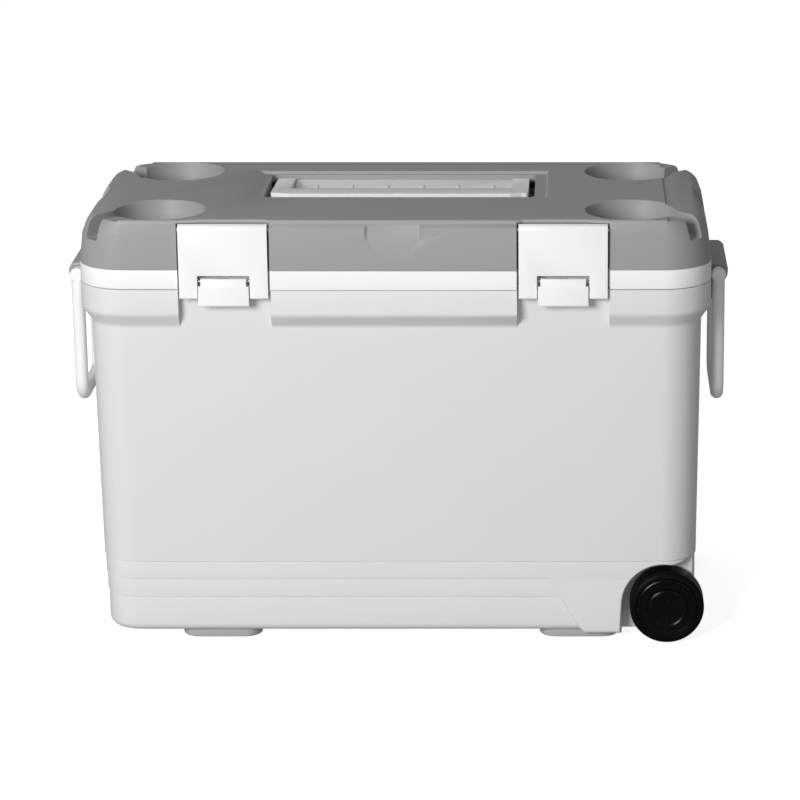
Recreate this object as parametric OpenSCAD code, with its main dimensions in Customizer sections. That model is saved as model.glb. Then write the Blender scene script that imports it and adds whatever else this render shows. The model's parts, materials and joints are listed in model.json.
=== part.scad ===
// Hard cooler on two wheels: foam-filled body and hinged lid, two front latches,
// end bails, a folding handle in the lid, four cup wells and an axle at the +X end.
// Origin at the middle of the footprint on the ground. +X towards the wheels, -Y the latch side, +Z up.

/* [Outline] */
// Length of the lid and of the collar under it
lid_length = 634; // [630:1:636]
// Depth of the lid and of the collar, front to back
lid_depth = 284; // [282:1:285]
// Plan radius of the lid's corners
corner_r = 50; // [46:1:52]
// How far the middle of the front stands out beyond the sides
front_proud = 4; // [3:0.5:4]
// Height of the top of the closed cooler
top_z = 445; // [444:0.5:446]
// Height of the face where the lid meets the body
parting_z = 374.5; // [374:0.5:374.5]
// How far the wall is set back under the collar
collar_step = 9.6; // [8:0.2:10]

/* [Walls] */
// Thickness of the outer shell and of the lid cover
shell_t = 3; // [2.5:0.5:3.5]
// Thickness of the liner
liner_t = 2.5; // [2:0.5:3]
// Foam and walls together, at the top of the tub
wall_total = 26.4; // [25:0.2:28]

/* [Lid] */
// Radius of a cup well
cup_r = 47.5; // [44:0.5:48]
// Depth of a cup well
cup_depth = 22; // [15:1:24]
// Width of the drain groove from each cup well
groove_w = 19; // [14:1:22]
// Length of the carry handle
handle_length = 264; // [250:1:266]
// Thickness of the carry handle
handle_t = 12; // [10:1:13]

/* [Latches] */
// Distance of each latch from the middle
latch_x = 168.2; // [167:0.1:169]
// Width of a latch plate
latch_w = 90; // [84:1:91]
// Width of a release tab
tab_w = 50; // [40:1:50]

/* [Running gear] */
// Radius of a wheel
wheel_r = 38; // [34:0.5:38]
// Width of a wheel
wheel_w = 29; // [26:0.5:29]
// Radius of the axle
axle_r = 5; // [4:0.5:5]
// Thickness of the bail bar
bail_d = 13; // [11:0.5:13]
// How far a bail hangs below its pivot, to the middle of the grip
bail_drop = 129; // [110:1:130]

/* [Hidden] */
$fn = 64;
hull_fn = 32;
eps = 0.01;
run = 0.05;
gap = 0.4;
lid_x = lid_length / 2;
lid_y = lid_depth / 2;
front_y = lid_y + front_proud;
notch_w = latch_w + 4;
centre_x = latch_x - notch_w / 2;
collar_z = 349;
wall_top_z = 335.4;
step_z = [86, 67, 47.5];
step_in = 1;
draft = 3.1;
wall_x = lid_x - collar_step;
wall_y = lid_y - collar_step;
wall_r = corner_r - collar_step;
low_x = wall_x - draft;
low_y = wall_y - draft;
low_r = wall_r - draft;
bottom_z = 9.5;
bottom_r = 18;
block_z = 7;
block_edge = [[150, 66], [164, 46.5], [172, 30], [182, 15.5], [191, 7]];
notch_y = wall_y;
band_top_z = 394.7;
lid_z = parting_z + 0.6;
liner_x = lid_x - wall_total - collar_step;
liner_y = lid_y - wall_total - collar_step;
liner_r = 38;
liner_draft = 8;
liner_floor_z = 35.5;
rim_x = lid_x - 6;
rim_y = lid_y - 6;
rim_t = 3;
sill_x = 212;
sill_z = 108;
plug_in = 10;
plug_z = 368;
seal_x = lid_x - 18;
seal_y = lid_y - 18;
seal_w = 6;
wheel_x = 274;
wheel_z = wheel_r + 0.5;
wheel_out_y = 139;
wheel_in_y = wheel_out_y - wheel_w;
well_y = wheel_in_y - 3.5;
well_x = 271;
well_r = wheel_r + 3.5;
tube_r = axle_r + 2;
cap_r = 20;
cap_out = 2.5;
nut_room_r = 12;
nut_room_depth = 8;
hinge_x = 170;
hinge_y = lid_y + 1;
hinge_z = parting_z + 0.3;
knuckle_r = 5;
hinge_pin_r = 2;
leaf_half = 15;
leaf_mid = 5.4;
leaf_t = 3;
latch_pin_y = -(front_y - 6);
latch_pin_z = 435.5;
latch_knuckle_r = 6;
latch_pin_r = 2;
latch_low_z = 366.6;
latch_skin = 3.5;
tab_low_z = 359;
tab_pin_y = -142.6;
tab_pin_z = 384;
tab_pin_r = 1.2;
tab_face_y = -148;
tab_knuckle_r = 2.9;
slot_half = tab_w / 2 + 1;
slot_top_z = 390;
spring_half = 5;
keeper_half = 20;
nose_y = -140.1;
hood_half = 50.5;
hood_x = 336;
hood_top_z = 380.5;
hood_screw_z = 357;
bail_x = 326;
bail_z = 370;
bail_y = 57.5;
bail_turn = 18;
stub_r = 4;
cheek_in = 44;
cup_x = 236;
cup_y = 92;
cup_floor_z = top_z - cup_depth;
plateau_x = 271;
plateau_h = 1.5;
panel_x = 152;
panel_front = -40;
panel_back = 93;
panel_drop = 2;
pocket_x = 138.5;
pocket_front = -23;
pocket_back = 88.7;
pocket_z = 420;
handle_tilt = 3.3;
handle_front = -18;
handle_grip = 35;
handle_arm = 18;
handle_pin_r = 3;
handle_pin_y = 80;
handle_pin_z = top_z - 11.7;
foot_x = 184;
foot_half = 40.5;
foot_front = 118;
foot_w = 36;
drain_z = 57.5;
drain_r = 8;
drain_tube_r = 11;
drain_flange_r = 15;
drain_face_x = -301;
drain_in_x = -267;
SIDES = [-1, 1];

// ---- shared shapes ----

module rounded_rect(half_x, half_y, r) {
    square([2 * (half_x - r), 2 * half_y], center = true);
    square([2 * half_x, 2 * (half_y - r)], center = true);
    for (sx = SIDES, sy = SIDES)
        translate([sx * (half_x - r), sy * (half_y - r)])
            circle(r);
}

module slab(half_x, half_y, r, z, h) {
    translate([0, 0, z])
        linear_extrude(h)
            rounded_rect(half_x, half_y, r);
}

// A thin slice that only serves as the end of a hull
module slice(half_x, half_y, r, z) {
    slab(half_x, half_y, r, z, eps, $fn = hull_fn);
}

module box(low, high) {
    translate(low)
        cube(high - low);
}

module rod_x(r, x0, x1, y, z) {
    translate([x0, y, z])
        rotate([0, 90, 0])
            cylinder(r = r, h = x1 - x0);
}

module rod_y(r, y0, y1, x, z) {
    translate([x, y0, z])
        rotate([-90, 0, 0])
            cylinder(r = r, h = y1 - y0);
}

// An outline drawn in x and z, carried from y0 to y1
module prism_y(points, y0, y1) {
    translate([0, y1, 0])
        rotate([90, 0, 0])
            linear_extrude(y1 - y0)
                polygon(points);
}

// An outline drawn in y and z, carried from x0 to x1
module prism_x(points, x0, x1) {
    translate([x0, 0, 0])
        rotate([90, 0, 90])
            linear_extrude(x1 - x0)
                polygon(points);
}

// ---- body ----

// The recess behind each latch, cut through collar, band and cover
module latch_notches(z0, z1, grow) {
    for (s = SIDES)
        translate([s * latch_x, 0, 0])
            box([-notch_w / 2 - grow, -front_y - 10, z0], [notch_w / 2 + grow, -notch_y + grow, z1]);
}

// Room for the hinge knuckles at the back edge
module knuckle_room(z0, z1) {
    for (s = SIDES)
        translate([s * hinge_x, 0, 0])
            box([-leaf_half - gap, hinge_y - knuckle_r - gap, z0], [leaf_half + gap, lid_y + 5, z1]);
}

module well_outline() {
    translate([well_x, wheel_z])
        circle(well_r);
    polygon([[well_x - well_r, wheel_z], [well_x - well_r - 3, 0], [well_x - well_r - 3, -20],
        [400, -20], [400, step_z[0]], [297, step_z[0]], [well_x, wheel_z + well_r]]);
}

module wheel_wells() {
    for (s = SIDES)
        translate([0, s > 0 ? 200 : -well_y, 0])
            rotate([90, 0, 0])
                linear_extrude(200 - well_y)
                    well_outline();
}

module collar() {
    difference() {
        union() {
            slab(lid_x, lid_y, corner_r, collar_z, parting_z - collar_z);
            box([-centre_x, -front_y, collar_z], [centre_x, 0, parting_z]);
            hull() {
                slice(lid_x, lid_y, corner_r, collar_z);
                slice(wall_x, wall_y, wall_r, wall_top_z);
            }
        }
        latch_notches(wall_top_z - 1, parting_z + 1, 0);
    }
}

module body_skin() {
    collar();
    hull() {
        slice(wall_x, wall_y, wall_r, parting_z - 10);
        slice(low_x, low_y, low_r, step_z[0]);
    }
    slab(low_x - step_in, low_y - step_in, low_r, step_z[1], step_z[0] - step_z[1] + eps);
    slab(low_x - 2 * step_in, low_y - 2 * step_in, low_r, step_z[2], step_z[1] - step_z[2] + eps);
    hull()
        for (a = [0 : 18 : 90]) {
            inset = 3 * step_in + bottom_r * (1 - sin(a));
            slice(low_x - inset, low_y - inset, low_r, bottom_z + bottom_r * (1 - cos(a)));
            slice(low_x - 3 * step_in, low_y - 3 * step_in, low_r, step_z[2]);
        }
    intersection() {
        slab(low_x - step_in, low_y - step_in, low_r, block_z, step_z[1] - block_z);
        prism_y(concat(block_edge, [[400, block_z], [400, 66]]), -200, 200);
    }
}

// The hollow of the outer shell, with the wheel wells' walls left standing in it
module shell_hollow() {
    difference() {
        hull() {
            slice(wall_x - shell_t, wall_y - shell_t, wall_r - shell_t, parting_z - rim_t);
            slice(low_x - shell_t - 4, low_y - shell_t - 4, low_r - shell_t, step_z[2]);
            slice(low_x - bottom_r - 4, low_y - bottom_r - 4, low_r - shell_t, bottom_z + shell_t);
        }
        for (s = SIDES)
            translate([0, s > 0 ? well_y - shell_t : -200, 0])
                box([well_x - well_r - 4 - shell_t, 0, 0], [400, 200 - well_y + shell_t, step_z[0] + shell_t]);
    }
}

module feet_outline(sx, sy) {
    translate([sx * foot_x, sy * (foot_front - foot_w / 2)])
        rounded_rect(foot_half, foot_w / 2, foot_w / 2 - 1);
}

module drain_bore(r, x0, x1) {
    rod_x(r, x0, x1, 0, drain_z);
}

module hinge_screw_places(z) {
    for (s = SIDES, t = SIDES)
        translate([s * hinge_x + t * 10, lid_y, z])
            children();
}

module hood_screw_places() {
    for (s = SIDES, t = SIDES)
        translate([s * lid_x, t * 25, hood_screw_z])
            rotate([0, s * 90, 0])
                children();
}

module screw(head_r, length, base_t) {
    translate([0, 0, -length])
        cylinder(r = head_r / 2, h = length + base_t);
    translate([0, 0, base_t])
        intersection() {
            cylinder(r = head_r, h = head_r);
            translate([0, 0, 2 - head_r * 1.6])
                sphere(head_r * 1.6);
        }
}

module outer_shell() {
    color("#e6e7e9")
        difference() {
            body_skin();
            shell_hollow();
            slab(rim_x, rim_y, corner_r - 6, parting_z - rim_t, rim_t + 1);
            wheel_wells();
            for (sx = SIDES, sy = SIDES)
                translate([0, 0, -1])
                    linear_extrude(bottom_z + 1)
                        feet_outline(sx, sy);
            rod_y(tube_r, -150, 150, wheel_x, wheel_z);
            knuckle_room(hinge_z - knuckle_r - gap, parting_z + 1);
            drain_bore(drain_flange_r, drain_face_x - 20, drain_face_x);
            drain_bore(drain_tube_r, drain_face_x - 1, -280);
            hinge_screw_places(360)
                rotate([90, 0, 0])
                    cylinder(r = 1.6, h = 8);
            hood_screw_places()
                translate([0, 0, -8])
                    cylinder(r = 2, h = 9);
        }
}

// Outside of the tub, with the raised sill over the axle
module tub(inset, z_floor, z_top) {
    difference() {
        hull() {
            slice(liner_x - inset, liner_y - inset, liner_r - inset, z_top);
            slice(liner_x - liner_draft - inset, liner_y - liner_draft - inset, liner_r - liner_draft - inset, z_floor);
        }
        box([sill_x - inset, -200, 0], [400, 200, sill_z + inset]);
    }
}

module inner_liner() {
    color("#f2f3f4")
        difference() {
            union() {
                tub(0, liner_floor_z, parting_z - rim_t);
                slab(rim_x, rim_y, corner_r - 6, parting_z - rim_t, rim_t);
            }
            tub(liner_t, liner_floor_z + liner_t, parting_z + 1);
            drain_bore(drain_tube_r, -280, -255);
        }
}

module body_foam() {
    color("#efe3b8")
        difference() {
            shell_hollow();
            tub(-gap, liner_floor_z - gap, parting_z - rim_t);
            box([-lid_x, -lid_y, parting_z - rim_t - gap], [lid_x, lid_y, parting_z]);
            rod_y(tube_r, -150, 150, wheel_x, wheel_z);
            drain_bore(drain_tube_r, -320, -255);
        }
}

module foot(sx, sy) {
    color("#d9dadc")
        linear_extrude(bottom_z)
            feet_outline(sx, sy);
}

module axle() {
    color("#b9bcc0")
        rod_y(axle_r, -wheel_out_y + 3.5, wheel_out_y - 3.5, wheel_x, wheel_z);
}

module axle_tube() {
    color("#2a2b2d")
        difference() {
            rod_y(tube_r, -well_y, well_y, wheel_x, wheel_z);
            rod_y(axle_r, -well_y - 1, well_y + 1, wheel_x, wheel_z);
        }
}

module axle_push_nuts() {
    color("#8f9398")
        for (s = SIDES)
            difference() {
                rod_y(9, s * (wheel_out_y - 5.5) - 0.75, s * (wheel_out_y - 5.5) + 0.75, wheel_x, wheel_z);
                rod_y(axle_r, -150, 150, wheel_x, wheel_z);
            }
}

module handle_hood(s) {
    color("#77797c")
        at_end(s)
            difference() {
                union() {
                    prism_y([[lid_x, 343], [lid_x + 3, 343], [lid_x + 3, hood_top_z - 3], [329.5, hood_top_z - 3],
                        [332.2, 375], [333, 372], [332.8, 368], [331.6, 364.5], [333.4, 363], [335.3, 367.5],
                        [hood_x, 373], [334.4, 377.4], [330.5, hood_top_z], [lid_x + 0.5, hood_top_z],
                        [lid_x + 0.5, 374], [lid_x, 374]], -hood_half, hood_half);
                    for (t = SIDES)
                        prism_y([[lid_x + 2, 349], [323, 354], [331.6, 361.5], [332.8, 364.5], [334, 368],
                            [334.4, 372.6], [333.2, 376], [330, 379], [lid_x + 2, 379]],
                            t > 0 ? cheek_in : -hood_half, t > 0 ? hood_half : -cheek_in);
                }
                rod_y(stub_r + run, -80, 80, bail_x, bail_z);
                for (t = SIDES)
                    rod_x(2, lid_x - 1, lid_x + 4, t * 25, hood_screw_z);
            }
}

// Both end fittings are alike; the left one is turned half round
module at_end(s) {
    rotate([0, 0, s < 0 ? 180 : 0])
        children();
}

module hood_screws() {
    color("#9a9da1")
        hood_screw_places()
            screw(4, 8, 3);
}

module latch_keeper(s) {
    color("#dcdde0")
        translate([s * latch_x, 0, 0])
            prism_x([[-notch_y, 356], [-notch_y - 1, 356], [nose_y + 1, 361.5], [nose_y, 363], [nose_y, 368],
                [nose_y + 2, 370], [-notch_y, 370]], -keeper_half, keeper_half);
}

module hinge_leaf_body(s) {
    color("#c9cbce")
        translate([s * hinge_x, 0, 0])
            difference() {
                union() {
                    box([-leaf_half, lid_y, 352], [leaf_half, lid_y + leaf_t, hinge_z - knuckle_r - gap]);
                    for (t = SIDES) {
                        x0 = t > 0 ? leaf_mid + 0.6 : -leaf_half;
                        box([x0, lid_y, 360], [x0 + leaf_half - leaf_mid - 0.6, lid_y + leaf_t, hinge_z]);
                        rod_x(knuckle_r, x0, x0 + leaf_half - leaf_mid - 0.6, hinge_y, hinge_z);
                    }
                }
                rod_x(hinge_pin_r, -50, 50, hinge_y, hinge_z);
                for (t = SIDES)
                    rod_y(1.6, lid_y - 1, lid_y + 5, t * 10, 360);
            }
}

module hinge_leaf_lid(s) {
    color("#c9cbce")
        translate([s * hinge_x, 0, 0])
            difference() {
                union() {
                    box([-leaf_half, lid_y, hinge_z + knuckle_r + gap], [leaf_half, lid_y + leaf_t, 393]);
                    box([-leaf_mid, lid_y, hinge_z], [leaf_mid, lid_y + leaf_t, 390]);
                    rod_x(knuckle_r, -leaf_mid, leaf_mid, hinge_y, hinge_z);
                }
                rod_x(hinge_pin_r + run, -50, 50, hinge_y, hinge_z);
                for (t = SIDES)
                    rod_y(1.6, lid_y - 1, lid_y + 5, t * 10, 387);
            }
}

module hinge_pins() {
    color("#b9bcc0")
        for (s = SIDES)
            rod_x(hinge_pin_r, s * hinge_x - leaf_half, s * hinge_x + leaf_half, hinge_y, hinge_z);
}

module hinge_screws(z) {
    color("#9a9da1")
        hinge_screw_places(z)
            rotate([-90, 0, 0])
                screw(3.2, 8, leaf_t);
}

// ---- drain ----

module drain_spout() {
    color("#e9eaec")
        difference() {
            union() {
                drain_bore(drain_flange_r, drain_face_x - 3, drain_face_x);
                drain_bore(drain_tube_r, drain_face_x - 1, drain_in_x);
            }
            drain_bore(drain_r, drain_face_x - 5, drain_in_x + 1);
        }
}

module drain_locknut() {
    color("#e9eaec")
        difference() {
            drain_bore(drain_flange_r, drain_in_x - 2, drain_in_x + 3);
            drain_bore(drain_tube_r, drain_in_x - 3, drain_in_x);
            drain_bore(drain_r, drain_in_x - 1, drain_in_x + 4);
        }
}

module drain_washer() {
    color("#3a3b3d")
        difference() {
            drain_bore(drain_r + 4, drain_face_x - 4.7, drain_face_x - 3.3);
            drain_bore(drain_r - 0.5, drain_face_x - 6, drain_face_x - 2);
        }
}

module drain_plug() {
    color("#e9eaec")
        difference() {
            union() {
                drain_bore(drain_flange_r, drain_face_x - 10, drain_face_x - 4.7);
                drain_bore(drain_r - 0.5, drain_face_x - 6, drain_face_x + 12);
            }
            for (s = SIDES)
                box([drain_face_x - 11, s * 9 - 5, drain_z - 20], [drain_face_x - 7, s * 9 + 5, drain_z + 20]);
        }
}

// ---- wheels ----

module wheel_tyre(s) {
    color("#1c1d1f")
        on_axle(s)
            rotate_extrude($fn = 96)
                difference() {
                    union() {
                        translate([31, 3])
                            square([wheel_r - 31, wheel_w - 6]);
                        translate([31, 0])
                            square([wheel_r - 34, wheel_w]);
                        for (h = [3, wheel_w - 3])
                            translate([wheel_r - 3, h])
                                circle(3);
                    }
                    translate([28, -1])
                        square([3, wheel_w + 2]);
                }
}

module wheel_core(s) {
    color("#232426")
        on_axle(s)
            difference() {
                cylinder(r = 31, h = wheel_w);
                translate([0, 0, -1])
                    cylinder(r = axle_r + run, h = wheel_w + 2);
                translate([0, 0, wheel_w - nut_room_depth])
                    cylinder(r = nut_room_r, h = nut_room_depth + 1);
            }
}

module wheel_cap(s) {
    color("#17181a")
        on_axle(s)
            difference() {
                union() {
                    translate([0, 0, wheel_w])
                        cylinder(r = cap_r, h = cap_out);
                    translate([0, 0, wheel_w - 5])
                        cylinder(r = nut_room_r, h = 5);
                }
                translate([0, 0, wheel_w - 6])
                    cylinder(r = nut_room_r - 1.5, h = 6);
            }
}

// Z runs outwards from the wheel's inner face
module on_axle(s) {
    translate([wheel_x, s * wheel_in_y, wheel_z])
        rotate([-s * 90, 0, 0])
            children();
}

// ---- lid ----

module cover_skin() {
    hull() {
        slice(lid_x, lid_y, corner_r, band_top_z);
        slice(lid_x - 3.5, lid_y - 3.5, corner_r - 3, top_z - 8);
        slice(lid_x - 6.5, lid_y - 6.5, corner_r - 6, top_z - 2.5);
        slice(lid_x - 12, lid_y - 12, corner_r - 10, top_z - eps);
    }
    hull()
        for (p = [[front_y, band_top_z], [front_y - 3.5, top_z - 8], [front_y - 6.5, top_z - 2.5], [front_y - 12, top_z - eps]])
            box([-centre_x, -p[0], p[1]], [centre_x, 0, p[1] + eps]);
}

module cup_wells(grow) {
    for (sx = SIDES, sy = SIDES) {
        translate([sx * cup_x, sy * cup_y, cup_floor_z - grow])
            cylinder(r = cup_r + grow, h = cup_depth + grow + 2);
        translate([sx * (lid_x - corner_r), sy * (lid_y - corner_r), cup_floor_z - 1 - grow])
            rotate([0, 0, sx * sy * 45 + (sx < 0 ? 180 : 0)])
                translate([0, -groove_w / 2 - grow, 0])
                    cube([100, groove_w + 2 * grow, cup_depth + grow + 4]);
    }
}

module handle_pocket(grow) {
    box([-pocket_x - grow, pocket_front - grow, pocket_z - grow], [pocket_x + grow, pocket_back + grow, top_z + 5]);
}

// The sloping field around the pocket: level with the top in front, sunk at the back
module sloped_field() {
    prism_x([[panel_front, top_z], [panel_back, top_z - panel_drop], [panel_back, top_z + 5], [panel_front, top_z + 5]],
        -panel_x, panel_x);
}

// The hollow of the lid cover; the foam that fills it keeps a little way off
module cover_hollow(off) {
    difference() {
        hull() {
            slice(lid_x - shell_t, lid_y - shell_t, corner_r - shell_t, band_top_z);
            slice(lid_x - 15 - off, lid_y - 11 - off, corner_r - 13 - off, top_z - 14 - off);
            slice(lid_x - 24 - off, lid_y - 18 - off, corner_r - 17 - off, top_z - 5 - off);
        }
        cup_wells(shell_t + off);
        handle_pocket(5 + off);
        latch_notches(band_top_z - 1, top_z + 1, shell_t + off);
    }
}

module finger_scallops() {
    for (a = [0, 90, 180, 270]) {
        reach = a % 180 == 0 ? (a == 0 ? front_y : lid_y) : lid_x;
        rotate([0, 0, a])
            translate([0, -reach + 6, top_z - 1])
                rotate([-14, 0, 0])
                    box([-28.5, -10, -30], [28.5, 0, 10]);
    }
}

module lid_cover() {
    color("#85878a")
        difference() {
            cover_skin();
            translate([0, 0, -eps])
                cover_hollow(0);
            cup_wells(0);
            handle_pocket(0);
            sloped_field();
            finger_scallops();
            latch_notches(band_top_z - 1, top_z + 1, 0);
            for (s = SIDES) {
                box([s > 0 ? plateau_x : -400, -200, top_z - plateau_h], [s > 0 ? 400 : -plateau_x, 200, top_z + 1]);
                rod_x(latch_pin_r, s * latch_x - latch_w / 2 - 5, s * latch_x + latch_w / 2 + 5, latch_pin_y, latch_pin_z);
            }
            rod_x(handle_pin_r, -pocket_x - 4, pocket_x + 4, handle_pin_y, handle_pin_z);
        }
}

module lid_liner() {
    color("#f7f8f9")
        difference() {
            union() {
                slab(lid_x, lid_y, corner_r, lid_z, band_top_z - lid_z);
                box([-centre_x, -front_y, lid_z], [centre_x, 0, band_top_z]);
                slab(liner_x - plug_in, liner_y - plug_in, 28, plug_z, lid_z - plug_z + eps);
            }
            band_hollow();
            lid_gasket_ring(eps);
            latch_notches(lid_z - 1, band_top_z + 1, 0);
            knuckle_room(lid_z - 1, hinge_z + knuckle_r + gap);
            hinge_screw_places(387)
                rotate([90, 0, 0])
                    cylinder(r = 1.6, h = 8);
        }
}

module band_hollow() {
    difference() {
        slab(lid_x - shell_t, lid_y - shell_t, corner_r - shell_t, lid_z + 3, band_top_z - lid_z);
        latch_notches(lid_z - 1, band_top_z + 20, shell_t);
        knuckle_room(lid_z - 1, hinge_z + knuckle_r + gap + 3);
        for (s = SIDES)
            translate([s * hinge_x, 0, 0])
                box([-20, lid_y - 11, lid_z - 1], [20, lid_y + 5, band_top_z + 20]);
        box([-400, -200, band_top_z], [400, 200, band_top_z + 20]);
    }
    slab(liner_x - plug_in - 3, liner_y - plug_in - 3, 25, plug_z + 3, lid_z - plug_z + eps);
}

module lid_foam() {
    color("#efe3b8")
        union() {
            cover_hollow(gap);
            band_hollow();
        }
}

module lid_gasket_ring(rise) {
    difference() {
        slab(seal_x, seal_y, corner_r - 18, lid_z - 0.3, 2.3 + rise);
        slab(seal_x - seal_w, seal_y - seal_w, corner_r - 24, lid_z - 1, 4);
    }
}

module lid_gasket() {
    color("#a9acb0")
        lid_gasket_ring(0);
}

module latch_pins() {
    color("#b9bcc0")
        for (s = SIDES)
            rod_x(latch_pin_r, s * latch_x - latch_w / 2 - 5, s * latch_x + latch_w / 2 + 5, latch_pin_y, latch_pin_z);
}

module handle_tray() {
    color("#e4e5e8")
        difference() {
            union() {
                prism_x([[handle_front + handle_grip + 0.6, pocket_z], [pocket_back, pocket_z], [pocket_back, 437],
                    [handle_front + handle_grip + 0.6, 424]], -tray_x(), tray_x());
                box([-tray_x(), pocket_front, pocket_z], [tray_x(), 20, pocket_z + 2.5]);
                for (i = [0 : 5])
                    translate([-92 + i * 37, 60, 431.2])
                        rotate([10.4, 0, 0])
                            cube([2.4, 12, 1.4]);
            }
        }
}

function tray_x() = handle_length / 2 - handle_arm - 0.6;

module handle_pins() {
    color("#b9bcc0")
        for (s = SIDES)
            rod_x(handle_pin_r, s * 130 - 12, s * 130 + 12, handle_pin_y, handle_pin_z);
}

// One arm of the handle, seen from its end: a flat bar that ends in an eye around the pivot
module handle_arm_outline() {
    difference() {
        union() {
            translate([handle_front + 20 - handle_pin_y, 0.3 - handle_t / 2])
                square([handle_pin_y - handle_front - 20, handle_t - 0.6]);
            circle(handle_t / 2 + 0.4);
        }
        circle(handle_pin_r + run);
    }
}

module carry_handle() {
    half = handle_length / 2;
    grip_y = handle_front - handle_pin_y;
    color("#dfe0e3")
        translate([0, handle_pin_y, handle_pin_z])
            rotate([-handle_tilt, 0, 0]) {
                box([-half, grip_y + 5, -handle_t / 2], [half, grip_y + handle_grip, handle_t / 2]);
                box([-half + handle_arm, grip_y, -handle_t / 2], [half - handle_arm, grip_y + 6, handle_t / 2]);
                for (s = SIDES)
                    translate([s > 0 ? half - handle_arm : -half, 0, 0])
                        rotate([90, 0, 90])
                            linear_extrude(handle_arm)
                                handle_arm_outline();
            }
}

// ---- latches ----

module latch_plate(s) {
    half = latch_w / 2;
    color("#f7f8f9")
        translate([s * latch_x, 0, 0])
            difference() {
                union() {
                    box([-half, -front_y, latch_low_z], [half, -front_y + latch_skin, latch_pin_z]);
                    for (t = SIDES) {
                        box([t > 0 ? half - 2.5 : -half, -front_y, latch_low_z + 6], [t > 0 ? half : -half + 2.5, -136, latch_pin_z]);
                        box([t > 0 ? slot_half : -slot_half - 4, -front_y, latch_low_z], [t > 0 ? slot_half + 4 : -slot_half, -139, slot_top_z + 4]);
                    }
                    rod_x(latch_knuckle_r, -half, half, latch_pin_y, latch_pin_z);
                }
                box([-slot_half, -front_y - 5, latch_low_z - 5], [slot_half, -130, slot_top_z]);
                rod_x(latch_pin_r + run, -half - 1, half + 1, latch_pin_y, latch_pin_z);
                rod_x(tab_pin_r, -slot_half - 4, slot_half + 4, tab_pin_y, tab_pin_z);
            }
}

module tab_pin(s) {
    color("#b9bcc0")
        rod_x(tab_pin_r, s * latch_x - slot_half - 4, s * latch_x + slot_half + 4, tab_pin_y, tab_pin_z);
}

module tab_spring(s) {
    color("#8f9398")
        difference() {
            rod_x(2, s * latch_x - spring_half, s * latch_x + spring_half, tab_pin_y, tab_pin_z);
            rod_x(tab_pin_r, s * latch_x - 20, s * latch_x + 20, tab_pin_y, tab_pin_z);
        }
}

module release_tab(s) {
    half = tab_w / 2;
    color("#f7f8f9")
        translate([s * latch_x, 0, 0])
            difference() {
                union() {
                    box([-half, tab_face_y, tab_low_z], [half, tab_face_y + 3, 379.5]);
                    box([-half + 2.5, tab_face_y, 379], [half - 2.5, tab_face_y + 3, 387.5]);
                    rod_x(tab_knuckle_r, -half + 2.5, half - 2.5, tab_pin_y, tab_pin_z);
                    box([-18, tab_face_y + 1, tab_low_z + 2], [18, nose_y - 0.35, tab_low_z + 5]);
                }
                box([-spring_half - 0.5, tab_face_y + 3, 375], [spring_half + 0.5, -130, 395]);
                rod_x(tab_pin_r + run, -half - 1, half + 1, tab_pin_y, tab_pin_z);
            }
}

// ---- bails ----

module end_bail(s) {
    low_z = bail_z - bail_drop;
    color("#f2f3f4")
        at_end(s) {
            rod_y(bail_d / 2, -bail_y + bail_turn, bail_y - bail_turn, bail_x, low_z);
            for (t = SIDES) {
                translate([bail_x, t * bail_y, low_z + bail_turn])
                    cylinder(d = bail_d, h = bail_drop - bail_turn);
                translate([bail_x, t * (bail_y - bail_turn), low_z + bail_turn])
                    rotate([0, 90, 0])
                        rotate([0, 0, t > 0 ? 0 : 270])
                            rotate_extrude(angle = 90)
                                translate([bail_turn, 0])
                                    circle(d = bail_d);
                rod_y(bail_d / 2 + 0.9, t * bail_y - 6, t * bail_y + 6, bail_x, bail_z);
                rod_y(stub_r, t * 50 - 6, t * 50 + 6, bail_x, bail_z);
            }
        }
}

outer_shell();
inner_liner();
body_foam();
foot(-1, -1);  // foot_front_left
foot(1, -1);  // foot_front_right
foot(-1, 1);  // foot_rear_left
foot(1, 1);  // foot_rear_right
handle_hood(-1);  // handle_hood_left
handle_hood(1);  // handle_hood_right
hood_screws();
latch_keeper(-1);  // latch_keeper_left
latch_keeper(1);  // latch_keeper_right
hinge_leaf_body(-1);  // hinge_leaf_body_left
hinge_leaf_body(1);  // hinge_leaf_body_right
hinge_pins();
hinge_screws(360);  // hinge_screws_body
axle();
axle_tube();
axle_push_nuts();
drain_spout();
drain_locknut();
drain_plug();
drain_washer();
wheel_tyre(-1);  // wheel_tyre_front
wheel_core(-1);  // wheel_core_front
wheel_cap(-1);  // wheel_cap_front
wheel_tyre(1);  // wheel_tyre_rear
wheel_core(1);  // wheel_core_rear
wheel_cap(1);  // wheel_cap_rear
lid_cover();
lid_liner();
lid_foam();
lid_gasket();
handle_tray();
handle_pins();
hinge_leaf_lid(-1);  // hinge_leaf_lid_left
hinge_leaf_lid(1);  // hinge_leaf_lid_right
hinge_screws(387);  // hinge_screws_lid
latch_pins();
carry_handle();
latch_plate(-1);  // latch_plate_left
latch_plate(1);  // latch_plate_right
tab_pin(-1);  // tab_pin_left
tab_pin(1);  // tab_pin_right
tab_spring(-1);  // tab_spring_left
tab_spring(1);  // tab_spring_right
release_tab(-1);  // release_tab_left
release_tab(1);  // release_tab_right
end_bail(-1);  // end_bail_left
end_bail(1);  // end_bail_right
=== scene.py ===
# %% [markdown]
# # A cooler on two wheels
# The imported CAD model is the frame: it says where every piece is and how it moves. This notebook lays a
# finished surface over it, piece by piece, and gives each surface its material.

# %% Load the frame
import json
import math

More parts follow.
